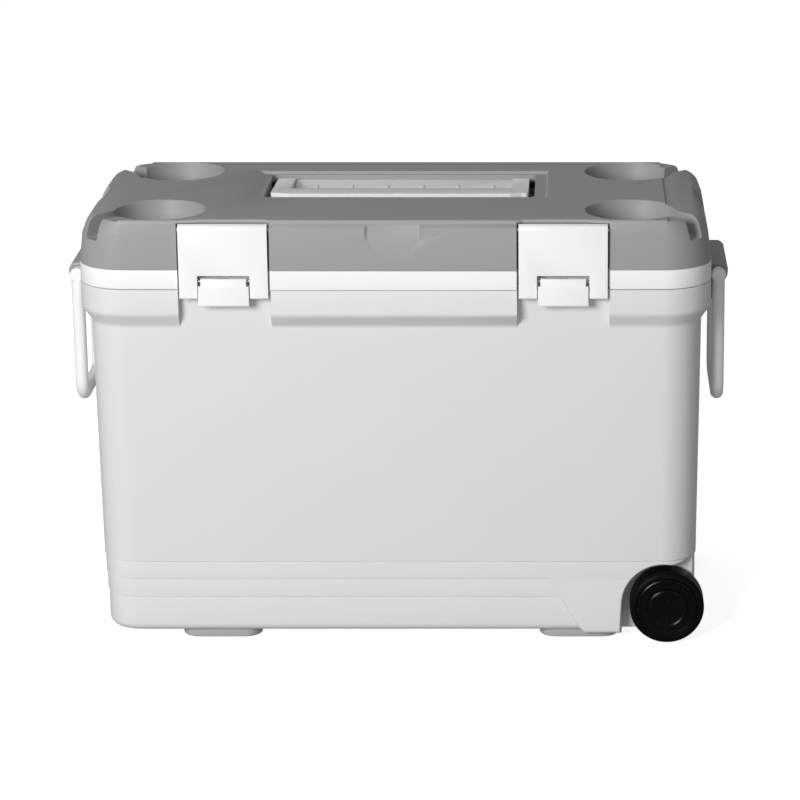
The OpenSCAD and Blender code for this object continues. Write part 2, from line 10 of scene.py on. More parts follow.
import bpy
import numpy as np
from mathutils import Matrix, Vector


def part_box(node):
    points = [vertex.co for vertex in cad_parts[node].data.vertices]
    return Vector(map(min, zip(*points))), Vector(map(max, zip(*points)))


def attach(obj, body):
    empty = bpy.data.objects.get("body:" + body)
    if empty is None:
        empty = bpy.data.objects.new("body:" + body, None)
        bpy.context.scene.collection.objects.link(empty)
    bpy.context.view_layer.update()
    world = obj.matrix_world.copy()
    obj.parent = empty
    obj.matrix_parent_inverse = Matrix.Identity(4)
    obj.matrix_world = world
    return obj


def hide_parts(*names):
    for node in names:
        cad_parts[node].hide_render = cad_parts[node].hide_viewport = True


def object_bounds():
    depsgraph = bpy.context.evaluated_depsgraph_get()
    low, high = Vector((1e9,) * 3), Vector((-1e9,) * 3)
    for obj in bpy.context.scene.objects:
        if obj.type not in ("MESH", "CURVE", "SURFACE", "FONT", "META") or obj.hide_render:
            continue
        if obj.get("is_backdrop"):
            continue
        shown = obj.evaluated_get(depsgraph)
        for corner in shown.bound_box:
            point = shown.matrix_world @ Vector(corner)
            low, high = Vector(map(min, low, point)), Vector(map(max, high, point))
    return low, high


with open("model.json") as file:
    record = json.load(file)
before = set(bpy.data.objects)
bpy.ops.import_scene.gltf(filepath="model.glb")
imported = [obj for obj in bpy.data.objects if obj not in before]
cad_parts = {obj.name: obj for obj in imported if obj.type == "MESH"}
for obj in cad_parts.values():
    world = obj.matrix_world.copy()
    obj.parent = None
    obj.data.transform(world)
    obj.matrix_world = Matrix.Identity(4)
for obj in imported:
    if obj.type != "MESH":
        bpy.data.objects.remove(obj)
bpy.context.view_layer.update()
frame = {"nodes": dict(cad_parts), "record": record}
MM = 0.001


def box_mm(node):
    """The lowest and highest corner of a CAD node, in millimetres."""
    low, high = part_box(node)
    return np.array(low) / MM, np.array(high) / MM


# %% [markdown]
# ## Driving places
# Everything is measured from the frame. The lid, the collar and the wall are all rounded rectangles round
# the same four corner centres, so one number, the distance from those centres, says how wide each is.

# %% Places read from the frame
band_low = box_mm("lid_liner")[0]
cover_low, cover_high = box_mm("lid_cover")
shell_low, shell_high = box_mm("outer_shell")
LID_HALF_X = cover_high[0]
LID_HALF_Y = cover_high[1]
PROUD = -cover_low[1] - LID_HALF_Y
TOP = cover_high[2]
BAND_TOP = cover_low[2]
PARTING = shell_high[2]
CORNER = 50.0
CORE_X = LID_HALF_X - CORNER
CORE_Y = LID_HALF_Y - CORNER
TUB_CORE = (CORE_X - 24, CORE_Y - 24)
print("corner centres at", round(CORE_X, 1), round(CORE_Y, 1), "lid top", round(TOP, 1))

# %% [markdown]
# ## Tools for surfaces
# A piece starts as a grid of points: rows by columns. The helpers below turn a polyline into one with round
# corners, carry a profile round an outline, spin it round an axis or sweep it along a path, and put the grid
# into a mesh in one call. Closed solids can then be carved with one another, as a moulder's inserts would.

# %% Round the corners of a polyline
def rounded(corners, steps=5):
    """Points of a polyline whose corners are arcs.

    corners holds (a, b, radius). Each arc touches both legs at radius * tan(turn / 2) from the corner, cut
    to 0.49 of the shorter leg. The first and last points stay as they are."""
    flat = np.array([c[:2] for c in corners], float)
    points = [flat[:1]]
    for before, here, after, radius in zip(flat[:-2], flat[1:-1], flat[2:], [c[2] for c in corners[1:-1]]):
        leg_in, leg_out = here - before, after - here
        long_in, long_out = np.hypot(*leg_in), np.hypot(*leg_out)
        d_in, d_out = leg_in / long_in, leg_out / long_out
        cross = d_in[0] * d_out[1] - d_in[1] * d_out[0]
        turn = math.atan2(cross, float(d_in @ d_out))
        half = max(abs(math.tan(turn / 2)), 1e-6)
        reach = min(max(radius, 0.02) * half, 0.49 * long_in, 0.49 * long_out)
        side = math.copysign(1, turn) * np.array([-d_in[1], d_in[0]])
        centre = here - d_in * reach + side * reach / half
        a = np.linspace(0, turn, steps + 1)[:, None]
        spoke = -side * reach / half
        arm = np.array([-spoke[1], spoke[0]])
        points.append(centre + spoke * np.cos(a) + arm * np.sin(a))
    return np.vstack(points + [flat[-1:]])


# %% Grids into meshes
def mesh_object(name, points, faces):
    """An object at the origin from points in millimetres and lists of corner indices."""
    mesh = bpy.data.meshes.new(name)
    mesh.from_pydata((np.asarray(points, float) * MM).tolist(), [], [list(map(int, f)) for f in faces])
    mesh.validate()
    mesh.update()
    made = bpy.data.objects.new(name, mesh)
    bpy.context.scene.collection.objects.link(made)
    return made


def grid_faces(rows, cols, wrap_cols=True, wrap_rows=False):
    """Four corner indices of each cell of a rows by cols grid, turned so that rows x cols faces out."""
    i = np.arange(rows if wrap_rows else rows - 1)[:, None]
    j = np.arange(cols if wrap_cols else cols - 1)[None, :]
    i2, j2 = (i + 1) % rows, (j + 1) % cols
    cells = [i * cols + j, i * cols + j2, i2 * cols + j2, i2 * cols + j]
    return np.stack([np.broadcast_to(c, cells[0].shape) for c in cells], -1).reshape(-1, 4)


def tube(name, grid, ends="flat"):
    """A closed solid from a grid of rings, with flat ends or, for a ring of rings, none."""
    rows, cols = grid.shape[:2]
    faces = grid_faces(rows, cols, True, ends == "joined").tolist()
    if ends == "flat":
        faces.append(list(range(cols))[::-1])
        faces.append(list(range((rows - 1) * cols, rows * cols)))
    return mesh_object(name, grid.reshape(-1, 3), faces)


# %% Profiles carried round, spun and swept
def spun(name, profile, centre, axis="z", sides=96, sign=1):
    """A turned solid: profile holds (radius, height); a point is centre + radius * (cos, sin) + height * axis."""
    profile = np.asarray(profile, float)
    a = np.linspace(0, 2 * np.pi, sides, endpoint=False)
    r, h = profile[:, :1], profile[:, 1:2]
    flat = [r * np.cos(a), r * np.sin(a), np.broadcast_to(h, (len(profile), sides))]
    if axis == "z":
        grid = np.stack(flat, -1)
    elif axis == "y":
        grid = np.stack([flat[0], flat[2] * sign, -flat[1] * sign], -1)
    else:
        grid = np.stack([flat[2] * sign, flat[0], flat[1] * sign], -1)
    return tube(name, grid + np.asarray(centre, float))


def prism(name, outline, low, high, axis="x"):
    """A flat outline carried straight along x (outline in y, z) or y (outline in x, z)."""
    outline = np.asarray(outline, float)
    area = np.sum(outline[:, 0] * np.roll(outline[:, 1], -1) - np.roll(outline[:, 0], -1) * outline[:, 1])
    if area < 0:
        outline = outline[::-1]
    ends = [np.full(len(outline), v) for v in ((low, high) if axis == "x" else (high, low))]
    if axis == "x":
        rows = [np.stack([e, outline[:, 0], outline[:, 1]], -1) for e in ends]
    else:
        rows = [np.stack([outline[:, 0], e, outline[:, 1]], -1) for e in ends]
    return tube(name, np.array(rows))


def block(name, low, high):
    """A plain box between two corners, for carving."""
    (x0, y0, z0), (x1, y1, z1) = low, high
    return prism(name, [(y0, z0), (y1, z0), (y1, z1), (y0, z1)], x0, x1)


def swept(name, path, radius, sides=24):
    """A round bar along a path: each ring stands square to the path, turned by the least twist."""
    path = np.asarray(path, float)
    way = np.gradient(path, axis=0)
    way /= np.linalg.norm(way, axis=1)[:, None]
    flat = np.cross(way[0], way[len(way) // 2])
    up = flat / np.linalg.norm(flat)
    side = np.cross(way, up)
    side /= np.linalg.norm(side, axis=1)[:, None]
    a = np.linspace(0, 2 * np.pi, sides, endpoint=False)
    up = np.broadcast_to(up, path.shape)
    ring = np.cos(a)[None, :, None] * side[:, None] + np.sin(a)[None, :, None] * up[:, None]
    return tube(name, path[:, None] + radius * -ring[:, ::-1])


# %% Carving, joining and finishing
def keep_result(piece):
    """Freezes the modifiers of a piece into its mesh."""
    graph = bpy.context.evaluated_depsgraph_get()
    mesh = bpy.data.meshes.new_from_object(piece.evaluated_get(graph), depsgraph=graph)
    piece.modifiers.clear()
    piece.data = mesh
    return piece


def carve(piece, tools, how="DIFFERENCE"):
    """Takes each tool away from the piece, or adds it with how="UNION", and removes the tools."""
    for tool in tools:
        step = piece.modifiers.new("carve", "BOOLEAN")
        step.operation = how
        step.solver = "EXACT"
        step.object = tool
    keep_result(piece)
    for tool in tools:
        bpy.data.objects.remove(tool)
    return piece


def move(piece, how):
    """Sends the vertices of a piece through a function of millimetre positions."""
    xyz = np.empty(len(piece.data.vertices) * 3)
    piece.data.vertices.foreach_get("co", xyz)
    piece.data.vertices.foreach_set("co", (how(xyz.reshape(-1, 3) / MM) * MM).ravel())
    piece.data.update()
    return piece


def soften(piece, width, segments=3, angle=35):
    """Rounds every edge that turns more than the angle, by width in millimetres."""
    step = piece.modifiers.new("soften", "BEVEL")
    step.width = width * MM
    step.segments = segments
    step.limit_method = "ANGLE"
    step.angle_limit = math.radians(angle)
    step.use_clamp_overlap = True
    step.harden_normals = False
    return keep_result(piece)


def shade(piece, sharp=32):
    """Smooth shading that breaks at edges turned more than the angle."""
    mesh = piece.data
    mesh.polygons.foreach_set("use_smooth", np.ones(len(mesh.polygons), bool))
    mesh.set_sharp_from_angle(angle=math.radians(sharp))
    return piece


def settle(piece, body, material, nodes, sharp=32):
    """Gives a finished piece its shading, material and body, and hides the CAD nodes that it stands for."""
    shade(piece, sharp)
    piece.data.materials.clear()
    piece.data.materials.append(material)
    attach(piece, body)
    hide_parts(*nodes)
    print(piece.name, len(piece.data.polygons), "faces on", body)
    return piece


SLOT_OF = {entry["node"]: entry["material_slot"] for entry in frame["record"]["subparts"]}

# %% [markdown]
# ## Materials
# A shader starts from a few real numbers: the colour of the plastic, how rough it is and how deep its grain
# is. The grain and the faint unevenness from handling are shared groups, so each plastic only sets numbers.

# %% Shared shader groups
def new_group(name, inputs, outputs):
    """An empty shader group with named sockets: (name, type, default, lowest, highest) and (name, type)."""
    tree = bpy.data.node_groups.new(name, "ShaderNodeTree")
    for label, kind, value, low, high in inputs:
        socket = tree.interface.new_socket(label, in_out="INPUT", socket_type=kind)
        socket.default_value = value
        if kind == "NodeSocketFloat":
            socket.min_value, socket.max_value = low, high
    for label, kind in outputs:
        tree.interface.new_socket(label, in_out="OUTPUT", socket_type=kind)
    return tree, tree.nodes.new("NodeGroupInput"), tree.nodes.new("NodeGroupOutput")


def node(tree, kind, links=(), **values):
    """Adds a node, sets its properties and links (socket, source output) pairs."""
    made = tree.nodes.new(kind)
    for label, value in values.items():
        if hasattr(made, label) and label not in ("inputs",):
            setattr(made, label, value)
    for socket, source in links:
        tree.links.new(source, made.inputs[socket])
    return made


FLOAT, COLOUR, VECTOR = "NodeSocketFloat", "NodeSocketColor", "NodeSocketVector"


def grain_group():
    """Moulded grain: two sizes of noise in object space, mixed into one height and turned into a normal."""
    tree, into, out = new_group("Moulded grain", [
        ("Fine scale", FLOAT, 1800.0, 50.0, 6000.0), ("Fine depth", FLOAT, 0.3, 0.0, 1.0),
        ("Wave scale", FLOAT, 18.0, 1.0, 200.0), ("Wave depth", FLOAT, 0.05, 0.0, 1.0)],
        [("Normal", VECTOR), ("Height", FLOAT)])
    place = node(tree, "ShaderNodeTexCoord")
    fine = node(tree, "ShaderNodeTexNoise",
                [("Vector", place.outputs["Object"]), ("Scale", into.outputs["Fine scale"])])
    fine.inputs["Detail"].default_value = 2.0
    wave = node(tree, "ShaderNodeTexNoise",
                [("Vector", place.outputs["Object"]), ("Scale", into.outputs["Wave scale"])])
    wave.inputs["Detail"].default_value = 1.0
    first = node(tree, "ShaderNodeBump",
                 [("Height", wave.outputs["Fac"]), ("Strength", into.outputs["Wave depth"])])
    first.inputs["Distance"].default_value = 0.002
    second = node(tree, "ShaderNodeBump",
                  [("Height", fine.outputs["Fac"]), ("Strength", into.outputs["Fine depth"]),
                                          ("Normal", first.outputs["Normal"])])
    second.inputs["Distance"].default_value = 0.00012
    tree.links.new(second.outputs["Normal"], out.inputs["Normal"])
    tree.links.new(fine.outputs["Fac"], out.inputs["Height"])
    return tree


def handling_group():
    """Handling: broad soft patches from 0 to 1 that change colour and roughness very slightly."""
    tree, into, out = new_group("Handling", [
        ("Colour", COLOUR, (0.5, 0.5, 0.5, 1), 0, 1), ("Roughness", FLOAT, 0.5, 0.0, 1.0),
        ("Amount", FLOAT, 0.06, 0.0, 1.0), ("Patch scale", FLOAT, 9.0, 0.5, 100.0)],
        [("Colour", COLOUR), ("Roughness", FLOAT), ("Patches", FLOAT)])
    place = node(tree, "ShaderNodeTexCoord")
    patch = node(tree, "ShaderNodeTexNoise",
                 [("Vector", place.outputs["Object"]), ("Scale", into.outputs["Patch scale"])])
    patch.inputs["Detail"].default_value = 5.0
    patch.inputs["Roughness"].default_value = 0.6
    centred = node(tree, "ShaderNodeMath", [(0, patch.outputs["Fac"])], operation="SUBTRACT")
    centred.inputs[1].default_value = 0.5
    scaled = node(tree, "ShaderNodeMath", [(0, centred.outputs[0]), (1, into.outputs["Amount"])],
                  operation="MULTIPLY")
    rough = node(tree, "ShaderNodeMath", [(0, into.outputs["Roughness"]), (1, scaled.outputs[0])],
                 operation="ADD",
                 use_clamp=True)
    bright = node(tree, "ShaderNodeMath", [(0, scaled.outputs[0])], operation="MULTIPLY_ADD")
    bright.inputs[1].default_value = 0.35
    bright.inputs[2].default_value = 1.0
    tint = node(tree, "ShaderNodeVectorMath", [(0, into.outputs["Colour"]), (1, bright.outputs[0])],
                operation="MULTIPLY")
    tree.links.new(tint.outputs[0], out.inputs["Colour"])
    tree.links.new(rough.outputs[0], out.inputs["Roughness"])
    tree.links.new(patch.outputs["Fac"], out.inputs["Patches"])
    return tree


def glint_speck_group():
    """Painted glints: points where a fine noise rises above a limit lighten a dark colour, standing in for small
    highlights.
    """
    tree, into, out = new_group("Glint specks", [
        # The second colour input is the painted glint colour of the specks.
        ("Colour", COLOUR, (0.01, 0.01, 0.01, 1), 0, 1), ("Glint colour", COLOUR, (0.1, 0.1, 0.1, 1), 0, 1),
        ("Scale", FLOAT, 900.0, 50.0, 5000.0), ("Limit", FLOAT, 0.72, 0.0, 1.0)],
        [("Colour", COLOUR), ("Mask", FLOAT)])
    place = node(tree, "ShaderNodeTexCoord")
    noise = node(tree, "ShaderNodeTexNoise",
                 [("Vector", place.outputs["Object"]), ("Scale", into.outputs["Scale"])])
    noise.inputs["Detail"].default_value = 1.0
    above = node(tree, "ShaderNodeMath", [(0, noise.outputs["Fac"]), (1, into.outputs["Limit"])],
                 operation="SUBTRACT")
    mask = node(tree, "ShaderNodeMath", [(0, above.outputs[0])], operation="MULTIPLY", use_clamp=True)
    mask.inputs[1].default_value = 14.0
    mixed = node(tree, "ShaderNodeMix", data_type="RGBA")
    tree.links.new(mask.outputs[0], mixed.inputs["Factor"])
    tree.links.new(into.outputs["Colour"], mixed.inputs[6])
    tree.links.new(into.outputs["Glint colour"], mixed.inputs[7])
    tree.links.new(mixed.outputs[2], out.inputs["Colour"])
    tree.links.new(mask.outputs[0], out.inputs["Mask"])
    return tree


GRAIN = grain_group()
HANDLING = handling_group()
GLINT_SPECKS = glint_speck_group()
print("shader groups:", GRAIN.name, HANDLING.name, GLINT_SPECKS.name)

# %% Materials from numbers
def plastic(name, colour, roughness, fine=(1800, 0.3), wave=(18, 0.04), marks=0.06, glint_level=None, **shader):
    """A plastic, rubber or metal: the groups feed one Principled shader whose other inputs are constants."""
    made = bpy.data.materials.new(name)
    made.use_nodes = True
    tree = made.node_tree
    base = tree.nodes["Principled BSDF"]
    grain = node(tree, "ShaderNodeGroup", node_tree=GRAIN)
    for label, value in (("Fine scale", fine[0]), ("Fine depth", fine[1]), ("Wave scale", wave[0]),
                         ("Wave depth", wave[1])):
        grain.inputs[label].default_value = value
    worn = node(tree, "ShaderNodeGroup", node_tree=HANDLING)
    worn.inputs["Colour"].default_value = (*colour, 1)
    worn.inputs["Roughness"].default_value = roughness
    worn.inputs["Amount"].default_value = marks
    tree.links.new(grain.outputs["Normal"], base.inputs["Normal"])
    tinted = worn
    # Dark plastics can get painted glints: light specks mixed into the base colour, standing in for small
    # highlights.
    if glint_level is not None:
        tinted = node(tree, "ShaderNodeGroup", [("Colour", worn.outputs["Colour"])], node_tree=GLINT_SPECKS)
        tinted.inputs["Glint colour"].default_value = (glint_level, glint_level, glint_level, 1)
    tree.links.new(tinted.outputs["Colour"], base.inputs["Base Color"])
    tree.links.new(worn.outputs["Roughness"], base.inputs["Roughness"])
    for label, value in shader.items():
        base.inputs[label.replace("_", " ")].default_value = value
    made.diffuse_color = (*colour, 1)
    return made


MATERIALS = {
    "body_shell": plastic("Body shell plastic", (0.72, 0.722, 0.725), 0.42, (1500, 0.22), (14, 0.05)),
    "white_plastic": plastic("White plastic", (0.89, 0.89, 0.885), 0.30, (1500, 0.10), (14, 0.03)),
    "liner_plastic": plastic("Liner plastic", (0.80, 0.81, 0.815), 0.28, (1500, 0.08), (10, 0.05)),
    "grey_cover": plastic("Grained grey plastic", (0.325, 0.325, 0.325), 0.52, (1300, 0.55), (14, 0.03)),
    "handle_plastic": plastic("Handle plastic", (0.80, 0.80, 0.80), 0.42, (1500, 0.25), (14, 0.03)),
    # The feet get a darker grey than the body's plastic: painted shade for the shade they sit in under the body.
    "foot_plastic": plastic("Foot plastic with painted shade", (0.40, 0.40, 0.40), 0.45, (1500, 0.25), (14, 0.03)),
    "foam": plastic("Insulating foam", (0.74, 0.64, 0.36), 0.9, (600, 0.8), (60, 0.3), 0.3),
    "seal_rubber": plastic("Seal rubber", (0.13, 0.132, 0.136), 0.6, (1500, 0.3), (30, 0.05)),
    # The two black plastics carry painted glints, light specks in their base colour that stand in for small
    # highlights.
    "black_plastic": plastic("Black plastic", (0.002, 0.002, 0.0022), 0.22, (700, 0.8), (20, 0.05),
                             glint_level=0.06, Specular_IOR_Level=0.12),
    "tyre_rubber": plastic("Tyre rubber", (0.002, 0.002, 0.0022), 0.40, (700, 1.0), (20, 0.05), glint_level=0.03,
                           Specular_IOR_Level=0.08),
    "steel": plastic("Plated steel", (0.60, 0.61, 0.62), 0.28, (900, 0.12), (40, 0.04), 0.15, Metallic=1.0),
}
print(len(MATERIALS), "materials")

# %% [markdown]
# ## The rounded outline
# Every level of body and lid is a rounded rectangle with the same four corner centres. Moving each point of
# that core rectangle outwards by one distance gives the outline, so a list of (distance, height) pairs is the
# whole wall. The middle of the front stands a little proud; the step is hidden in the latch recesses.

# %% Columns of the outline
def columns(core_x, core_y, front=(), steps=22):
    """Base point, outward normal and proud share of each column, anticlockwise from the front left."""
    base, normal, proud = [], [], []
    sides = [((-core_x, -core_y), (core_x, -core_y), 0), ((core_x, -core_y), (core_x, core_y), 1),
             ((core_x, core_y), (-core_x, core_y), 2), ((-core_x, core_y), (-core_x, -core_y), 3)]
    for start, end, turn in sides:
        a0 = -np.pi / 2 + turn * np.pi / 2
        between = [(x + core_x) / (2 * core_x) for x in front] if turn == 0 else [0.25, 0.5, 0.75]
        stops = sorted(set([0.0, 1.0] + between))
        for t in stops:
            point = np.array(start) * (1 - t) + np.array(end) * t
            base.append(point)
            normal.append((math.cos(a0), math.sin(a0)))
            proud.append(1.0 if turn == 0 and abs(point[0]) < 125 else 0.0)
        for a in a0 + np.linspace(0, np.pi / 2, steps + 1)[1:-1]:
            base.append(np.array(end))
            normal.append((math.cos(a), math.sin(a)))
            proud.append(0.0)
    return np.array(base), np.array(normal), np.array(proud)


MIDDLE_END, MIDDLE_FADE = 216, 26
FRONT_STOPS = [-216, -190, -150, -128, -122, -60, 0, 60, 122, 128, 150, 190, 216]


def lofted(name, profile, core=None, front=FRONT_STOPS, proud=0.0, proud_of=None, end_profile=None,
           side_profile=None, steps=22):
    """A solid whose rows are outlines: row i lies at profile[i] = (distance from the core, height).

    proud is how far the middle of the front stands out, scaled per row by proud_of(distance, height). With an
    end_profile of as many rows, the two are blended round the corners, side to end. profile itself then holds
    for the middle of the front only, and side_profile for the rest of the long sides."""
    base, normal, share = columns(*(core or (CORE_X, CORE_Y)), front, steps)
    profile = np.asarray(profile, float)[:, None, :]
    if end_profile is None:
        both = np.broadcast_to(profile, (profile.shape[0], len(base), 2))
    else:
        mix = np.abs(normal[:, 0])[None, :, None]
        mix = mix * mix * (3 - 2 * mix)
        middle = np.clip((MIDDLE_END - np.abs(base[:, 0])) / MIDDLE_FADE, 0, 1) * (normal[:, 1] < -0.999)
        middle = middle[None, :, None]
        side = np.asarray(side_profile, float)[:, None, :]
        both = side * (1 - mix) + np.asarray(end_profile, float)[:, None, :] * mix
        both = both * (1 - middle) + profile * middle
    out = both[..., 0:1] * normal[None]
    grid = np.concatenate([base[None] + out, both[..., 1:2]], -1)
    if proud:
        grid[..., 1] -= proud * share[None] * (proud_of(both[..., 0], both[..., 1]) if proud_of else 1.0)
    return tube(name, grid)


print("columns in an outline:", len(columns(CORE_X, CORE_Y, FRONT_STOPS)[0]))

# %% [markdown]
# ## The body shell
# The real shell is one blow-moulded skin: a tapering wall, a collar that overhangs it, three shallow steps
# near the ground and a thicker block round the wheels. Here the wall is one loft of outlines. The block is a
# second loft cut off along a slanting curve and joined on. Recesses for latches, wheels, feet, hinges and
# drain are carved afterwards, because a carved edge follows the curved wall by itself.

# %% Build the body shell
COLLAR_R, WALL_R, LOW_R = CORNER, CORNER - 9.6, CORNER - 12.7
STEP_Z = (86.0, 67.0, 47.5)
BOTTOM_Z = box_mm("foot_front_left")[1][2]
BLOCK_Z = shell_low[2]
WHEEL = (box_mm("wheel_tyre_front")[0] + box_mm("wheel_tyre_front")[1]) / 2
WHEEL_R = (box_mm("wheel_tyre_front")[1][0] - box_mm("wheel_tyre_front")[0][0]) / 2
WELL_R = WHEEL_R + 3.5
WELL_X = WHEEL[0] - 3
WELL_Y = box_mm("axle_tube")[1][1]
LATCH_X = float(np.mean([box_mm("latch_plate_right")[0][0], box_mm("latch_plate_right")[1][0]]))
LATCH_HALF = (box_mm("latch_plate_right")[1][0] - box_mm("latch_plate_right")[0][0]) / 2
NOTCH_HALF = LATCH_HALF + 1
NOTCH_Y = CORE_Y + WALL_R


def step_rows(z, below):
    """One step of the wall: the band below stands back by a millimetre, with a fine groove under the edge."""
    r = LOW_R - below
    return [(r, z - 1.5, 0.25), (r - 1.1, z - 0.6, 0.25), (r - 0.6, z + 0.15, 0.15), (r + 1, z + 0.3, 0.2)]


wall_profile = rounded([
    (LOW_R - 3 - 18, BOTTOM_Z, 0), (LOW_R - 3, BOTTOM_Z, 18), *step_rows(STEP_Z[2], 3),
    *step_rows(STEP_Z[1], 2), *step_rows(STEP_Z[0], 1),
    (WALL_R, 335.4, 9), (COLLAR_R, 348.5, 9), (COLLAR_R, PARTING, 1.0), (44.1, PARTING, 0.5),
    (44.1, PARTING - 3, 0.2),
    (30, PARTING - 3, 0)], 6)
shell = lofted("body_shell", wall_profile, proud=PROUD,
               proud_of=lambda r, z: np.clip((r - WALL_R) / 9.6, 0, 1) * (z > 330) * (z < PARTING - 1))
block_profile = rounded([(LOW_R - 1 - 10, BLOCK_Z, 0), (LOW_R - 0.99, BLOCK_Z, 8),
                         (LOW_R - 0.99, STEP_Z[1] + 0.2, 0.1),
                         (LOW_R - 6, STEP_Z[1] + 2, 0)], 6)
wheel_block = lofted("wheel block", block_profile)
slant = rounded([(420, 82, 0), (146, 82, 1), (150, 66, 2), (164, 46.5, 22), (172, 30, 25), (182, 15.5, 16),
                 (192, 4.5, 6),
                 (196, -6, 1), (420, -6, 0)], 6)
slope = [np.stack([slant[:, 0] + (slant[:, 0] < 400) * max(0, abs(y) - 125.5), np.full(len(slant), y),
                   slant[:, 1]], -1)
         for y in (165.5, 125.5, -125.5, -165.5)]
area = np.sum(slant[:, 0] * np.roll(slant[:, 1], -1) - np.roll(slant[:, 0], -1) * slant[:, 1])
carve(wheel_block, [tube("slant", np.array(slope)[:, :: (1 if area > 0 else -1)])], "INTERSECT")
carve(shell, [wheel_block], "UNION")


def arch(grow):
    """Outline of a wheel recess in x and z: a half circle over the wheel that slopes up to the end wall."""
    a = np.radians(np.linspace(180, 90, 28))
    round_part = np.stack([WELL_X + (WELL_R + grow) * np.cos(a), WHEEL[2] + (WELL_R + grow) * np.sin(a)], -1)
    tail = rounded([tuple(round_part[-1]) + (0,), (WELL_X + 8, WHEEL[2] + WELL_R + grow, 8),
                    (297, STEP_Z[0] + grow * 0.6, 10), (420, STEP_Z[0] + 10, 0)], 5)
    return np.vstack([[(WELL_X - WELL_R - 3 - grow, -20)], round_part, tail[1:], [(420, -20)]])


def well_cutter(sy):
    """The room for a wheel: straight inside, then opening outwards in a soft lip at the wall's face."""
    stations = [(WELL_Y, 0), (121.5, 0), (125, 0.6), (127.4, 1.8), (128.9, 3.6), (170, 3.6)]
    grid = np.stack([np.insert(arch(grow), 1, sy * y, axis=1) for y, grow in stations])
    return tube("well", grid[:, :: sy])


def foot_loft(name, sx, sy, rows):
    """A stadium-shaped pad: rows holds (inset, height)."""
    low, high = box_mm(f"foot_{'rear' if sy > 0 else 'front'}_{'right' if sx > 0 else 'left'}")
    mid, half = (low + high) / 2, (high - low) / 2
    core = (half[0] - half[1] + 1, 0.999)
    base, normal, _ = columns(core[0], core[1], (), 18)
    grid = np.stack([np.concatenate([base + (half[1] - 1 - inset) * normal + mid[:2],
                                     np.full((len(base), 1), z)], 1)
                     for inset, z in rows])
    return tube(name, grid)


tools = []
for sy in (-1, 1):
    tools.append(well_cutter(sy))
    for sx in (-1, 1):
        tools.append(foot_loft("pocket", sx, sy, [(-0.1, -5), (-0.1, BOTTOM_Z)]))
for sx in (-1, 1):
    tools.append(block("notch", (sx * LATCH_X - NOTCH_HALF, -170, 330),
                       (sx * LATCH_X + NOTCH_HALF, -NOTCH_Y, PARTING + 5)))
    hinge_low, hinge_high = box_mm("hinge_pins")
    side = hinge_high[0] if sx > 0 else hinge_low[0]
    tools.append(block("knuckle room", (side - (30.4 if sx > 0 else 0.4), 137.6, 369.4),
                       (side + (0.4 if sx > 0 else 30.4), 160, PARTING + 5)))
drain_low, drain_high = box_mm("drain_spout")
DRAIN_Z = (drain_low[2] + drain_high[2]) / 2
DRAIN_X = drain_low[0] + 3
tools.append(spun("drain seat", [(15.2, 22), (15.2, 0), (11, 0), (11, -60)][::-1], (DRAIN_X, 0, DRAIN_Z),
                  "x", 48, -1))
tools.append(lofted("tub", [(0, 30), (30.05, 35.4), (38.05, 371.6), (38.05, 380)], TUB_CORE, ()))
carve(shell, tools)
settle(shell, "body", MATERIALS["body_shell"], ["outer_shell"], 30)

# %% [markdown]
# ## The tub
# The liner is a deep tray that narrows towards its floor, with a raised sill over the axle and a flange that
# rests in the rebate of the shell. A mould makes it from two halves, so here too it is an outer block minus
# an inner block, both with generous corner radii.

# %% Build the liner
FLANGE_Z = box_mm("inner_liner")[1][2]


def tub_block(name, off, floor_z, top_z, floor_round):
    """The tub grown outwards by off: two outlines joined straight, a rounded floor and the sill cut away."""
    rows = rounded([(18, floor_z, 0), (30 + off, floor_z, floor_round), (38 + off, FLANGE_Z - 3, 0),
                    (38.07 + off, top_z, 0)], 6)
    made = lofted(name, rows, TUB_CORE, (-120, 0, 120, 190, 212, 230))
    sill = rounded([(212 - off, -50, 0), (212 - off, 108 + off, floor_round), (420, 108 + off, 0),
                    (420, -50, 0)], 6)
    return carve(made, [prism("sill", sill, -200, 200, "y")])


liner = tub_block("tub_liner", 0.0, 35.5, FLANGE_Z - 3, 9)
flange = lofted("flange", rounded([(25, FLANGE_Z - 3, 0), (44, FLANGE_Z - 3, 0.4), (44, FLANGE_Z, 0.8),
                                   (25, FLANGE_Z, 0)], 3), front=(-120, 0, 120))
carve(liner, [flange], "UNION")
mouth = lofted("mouth", rounded([(20, FLANGE_Z - 12, 0), (35.3, FLANGE_Z - 12, 0),
                                 (35.55, FLANGE_Z - 2.5, 2.5), (39, FLANGE_Z + 0.01, 1),
                                 (39, 380, 0)], 5), TUB_CORE, ())
carve(liner, [tub_block("tub_room", -2.5, 38.0, 385, 7)])
carve(liner, [mouth, spun("drain way", [(11, -10), (11, 40)], (-255, 0, DRAIN_Z), "x", 48, -1)])
settle(liner, "body", MATERIALS["liner_plastic"], ["inner_liner"], 30)

# %% [markdown]
# ## The lid's white band
# The band is the lower half of the lid: a rounded frame with the plug that drops into the tub and a groove
# for the seal. One loft makes the frame, a second the plug, and the groove is carved from a ring.

# %% Build the band
LID_Z = band_low[2] + 7.1
band = lofted("lid_band", rounded([(20, LID_Z, 0), (50, LID_Z, 1.2), (50, BAND_TOP, 0.5),
                                   (20, BAND_TOP, 0)], 4), proud=PROUD)
plug = lofted("plug", rounded([(5, band_low[2], 0), (28, band_low[2], 4), (28, LID_Z + 2, 0),
                               (5, LID_Z + 2, 0)], 5), TUB_CORE, ())
carve(band, [plug], "UNION")


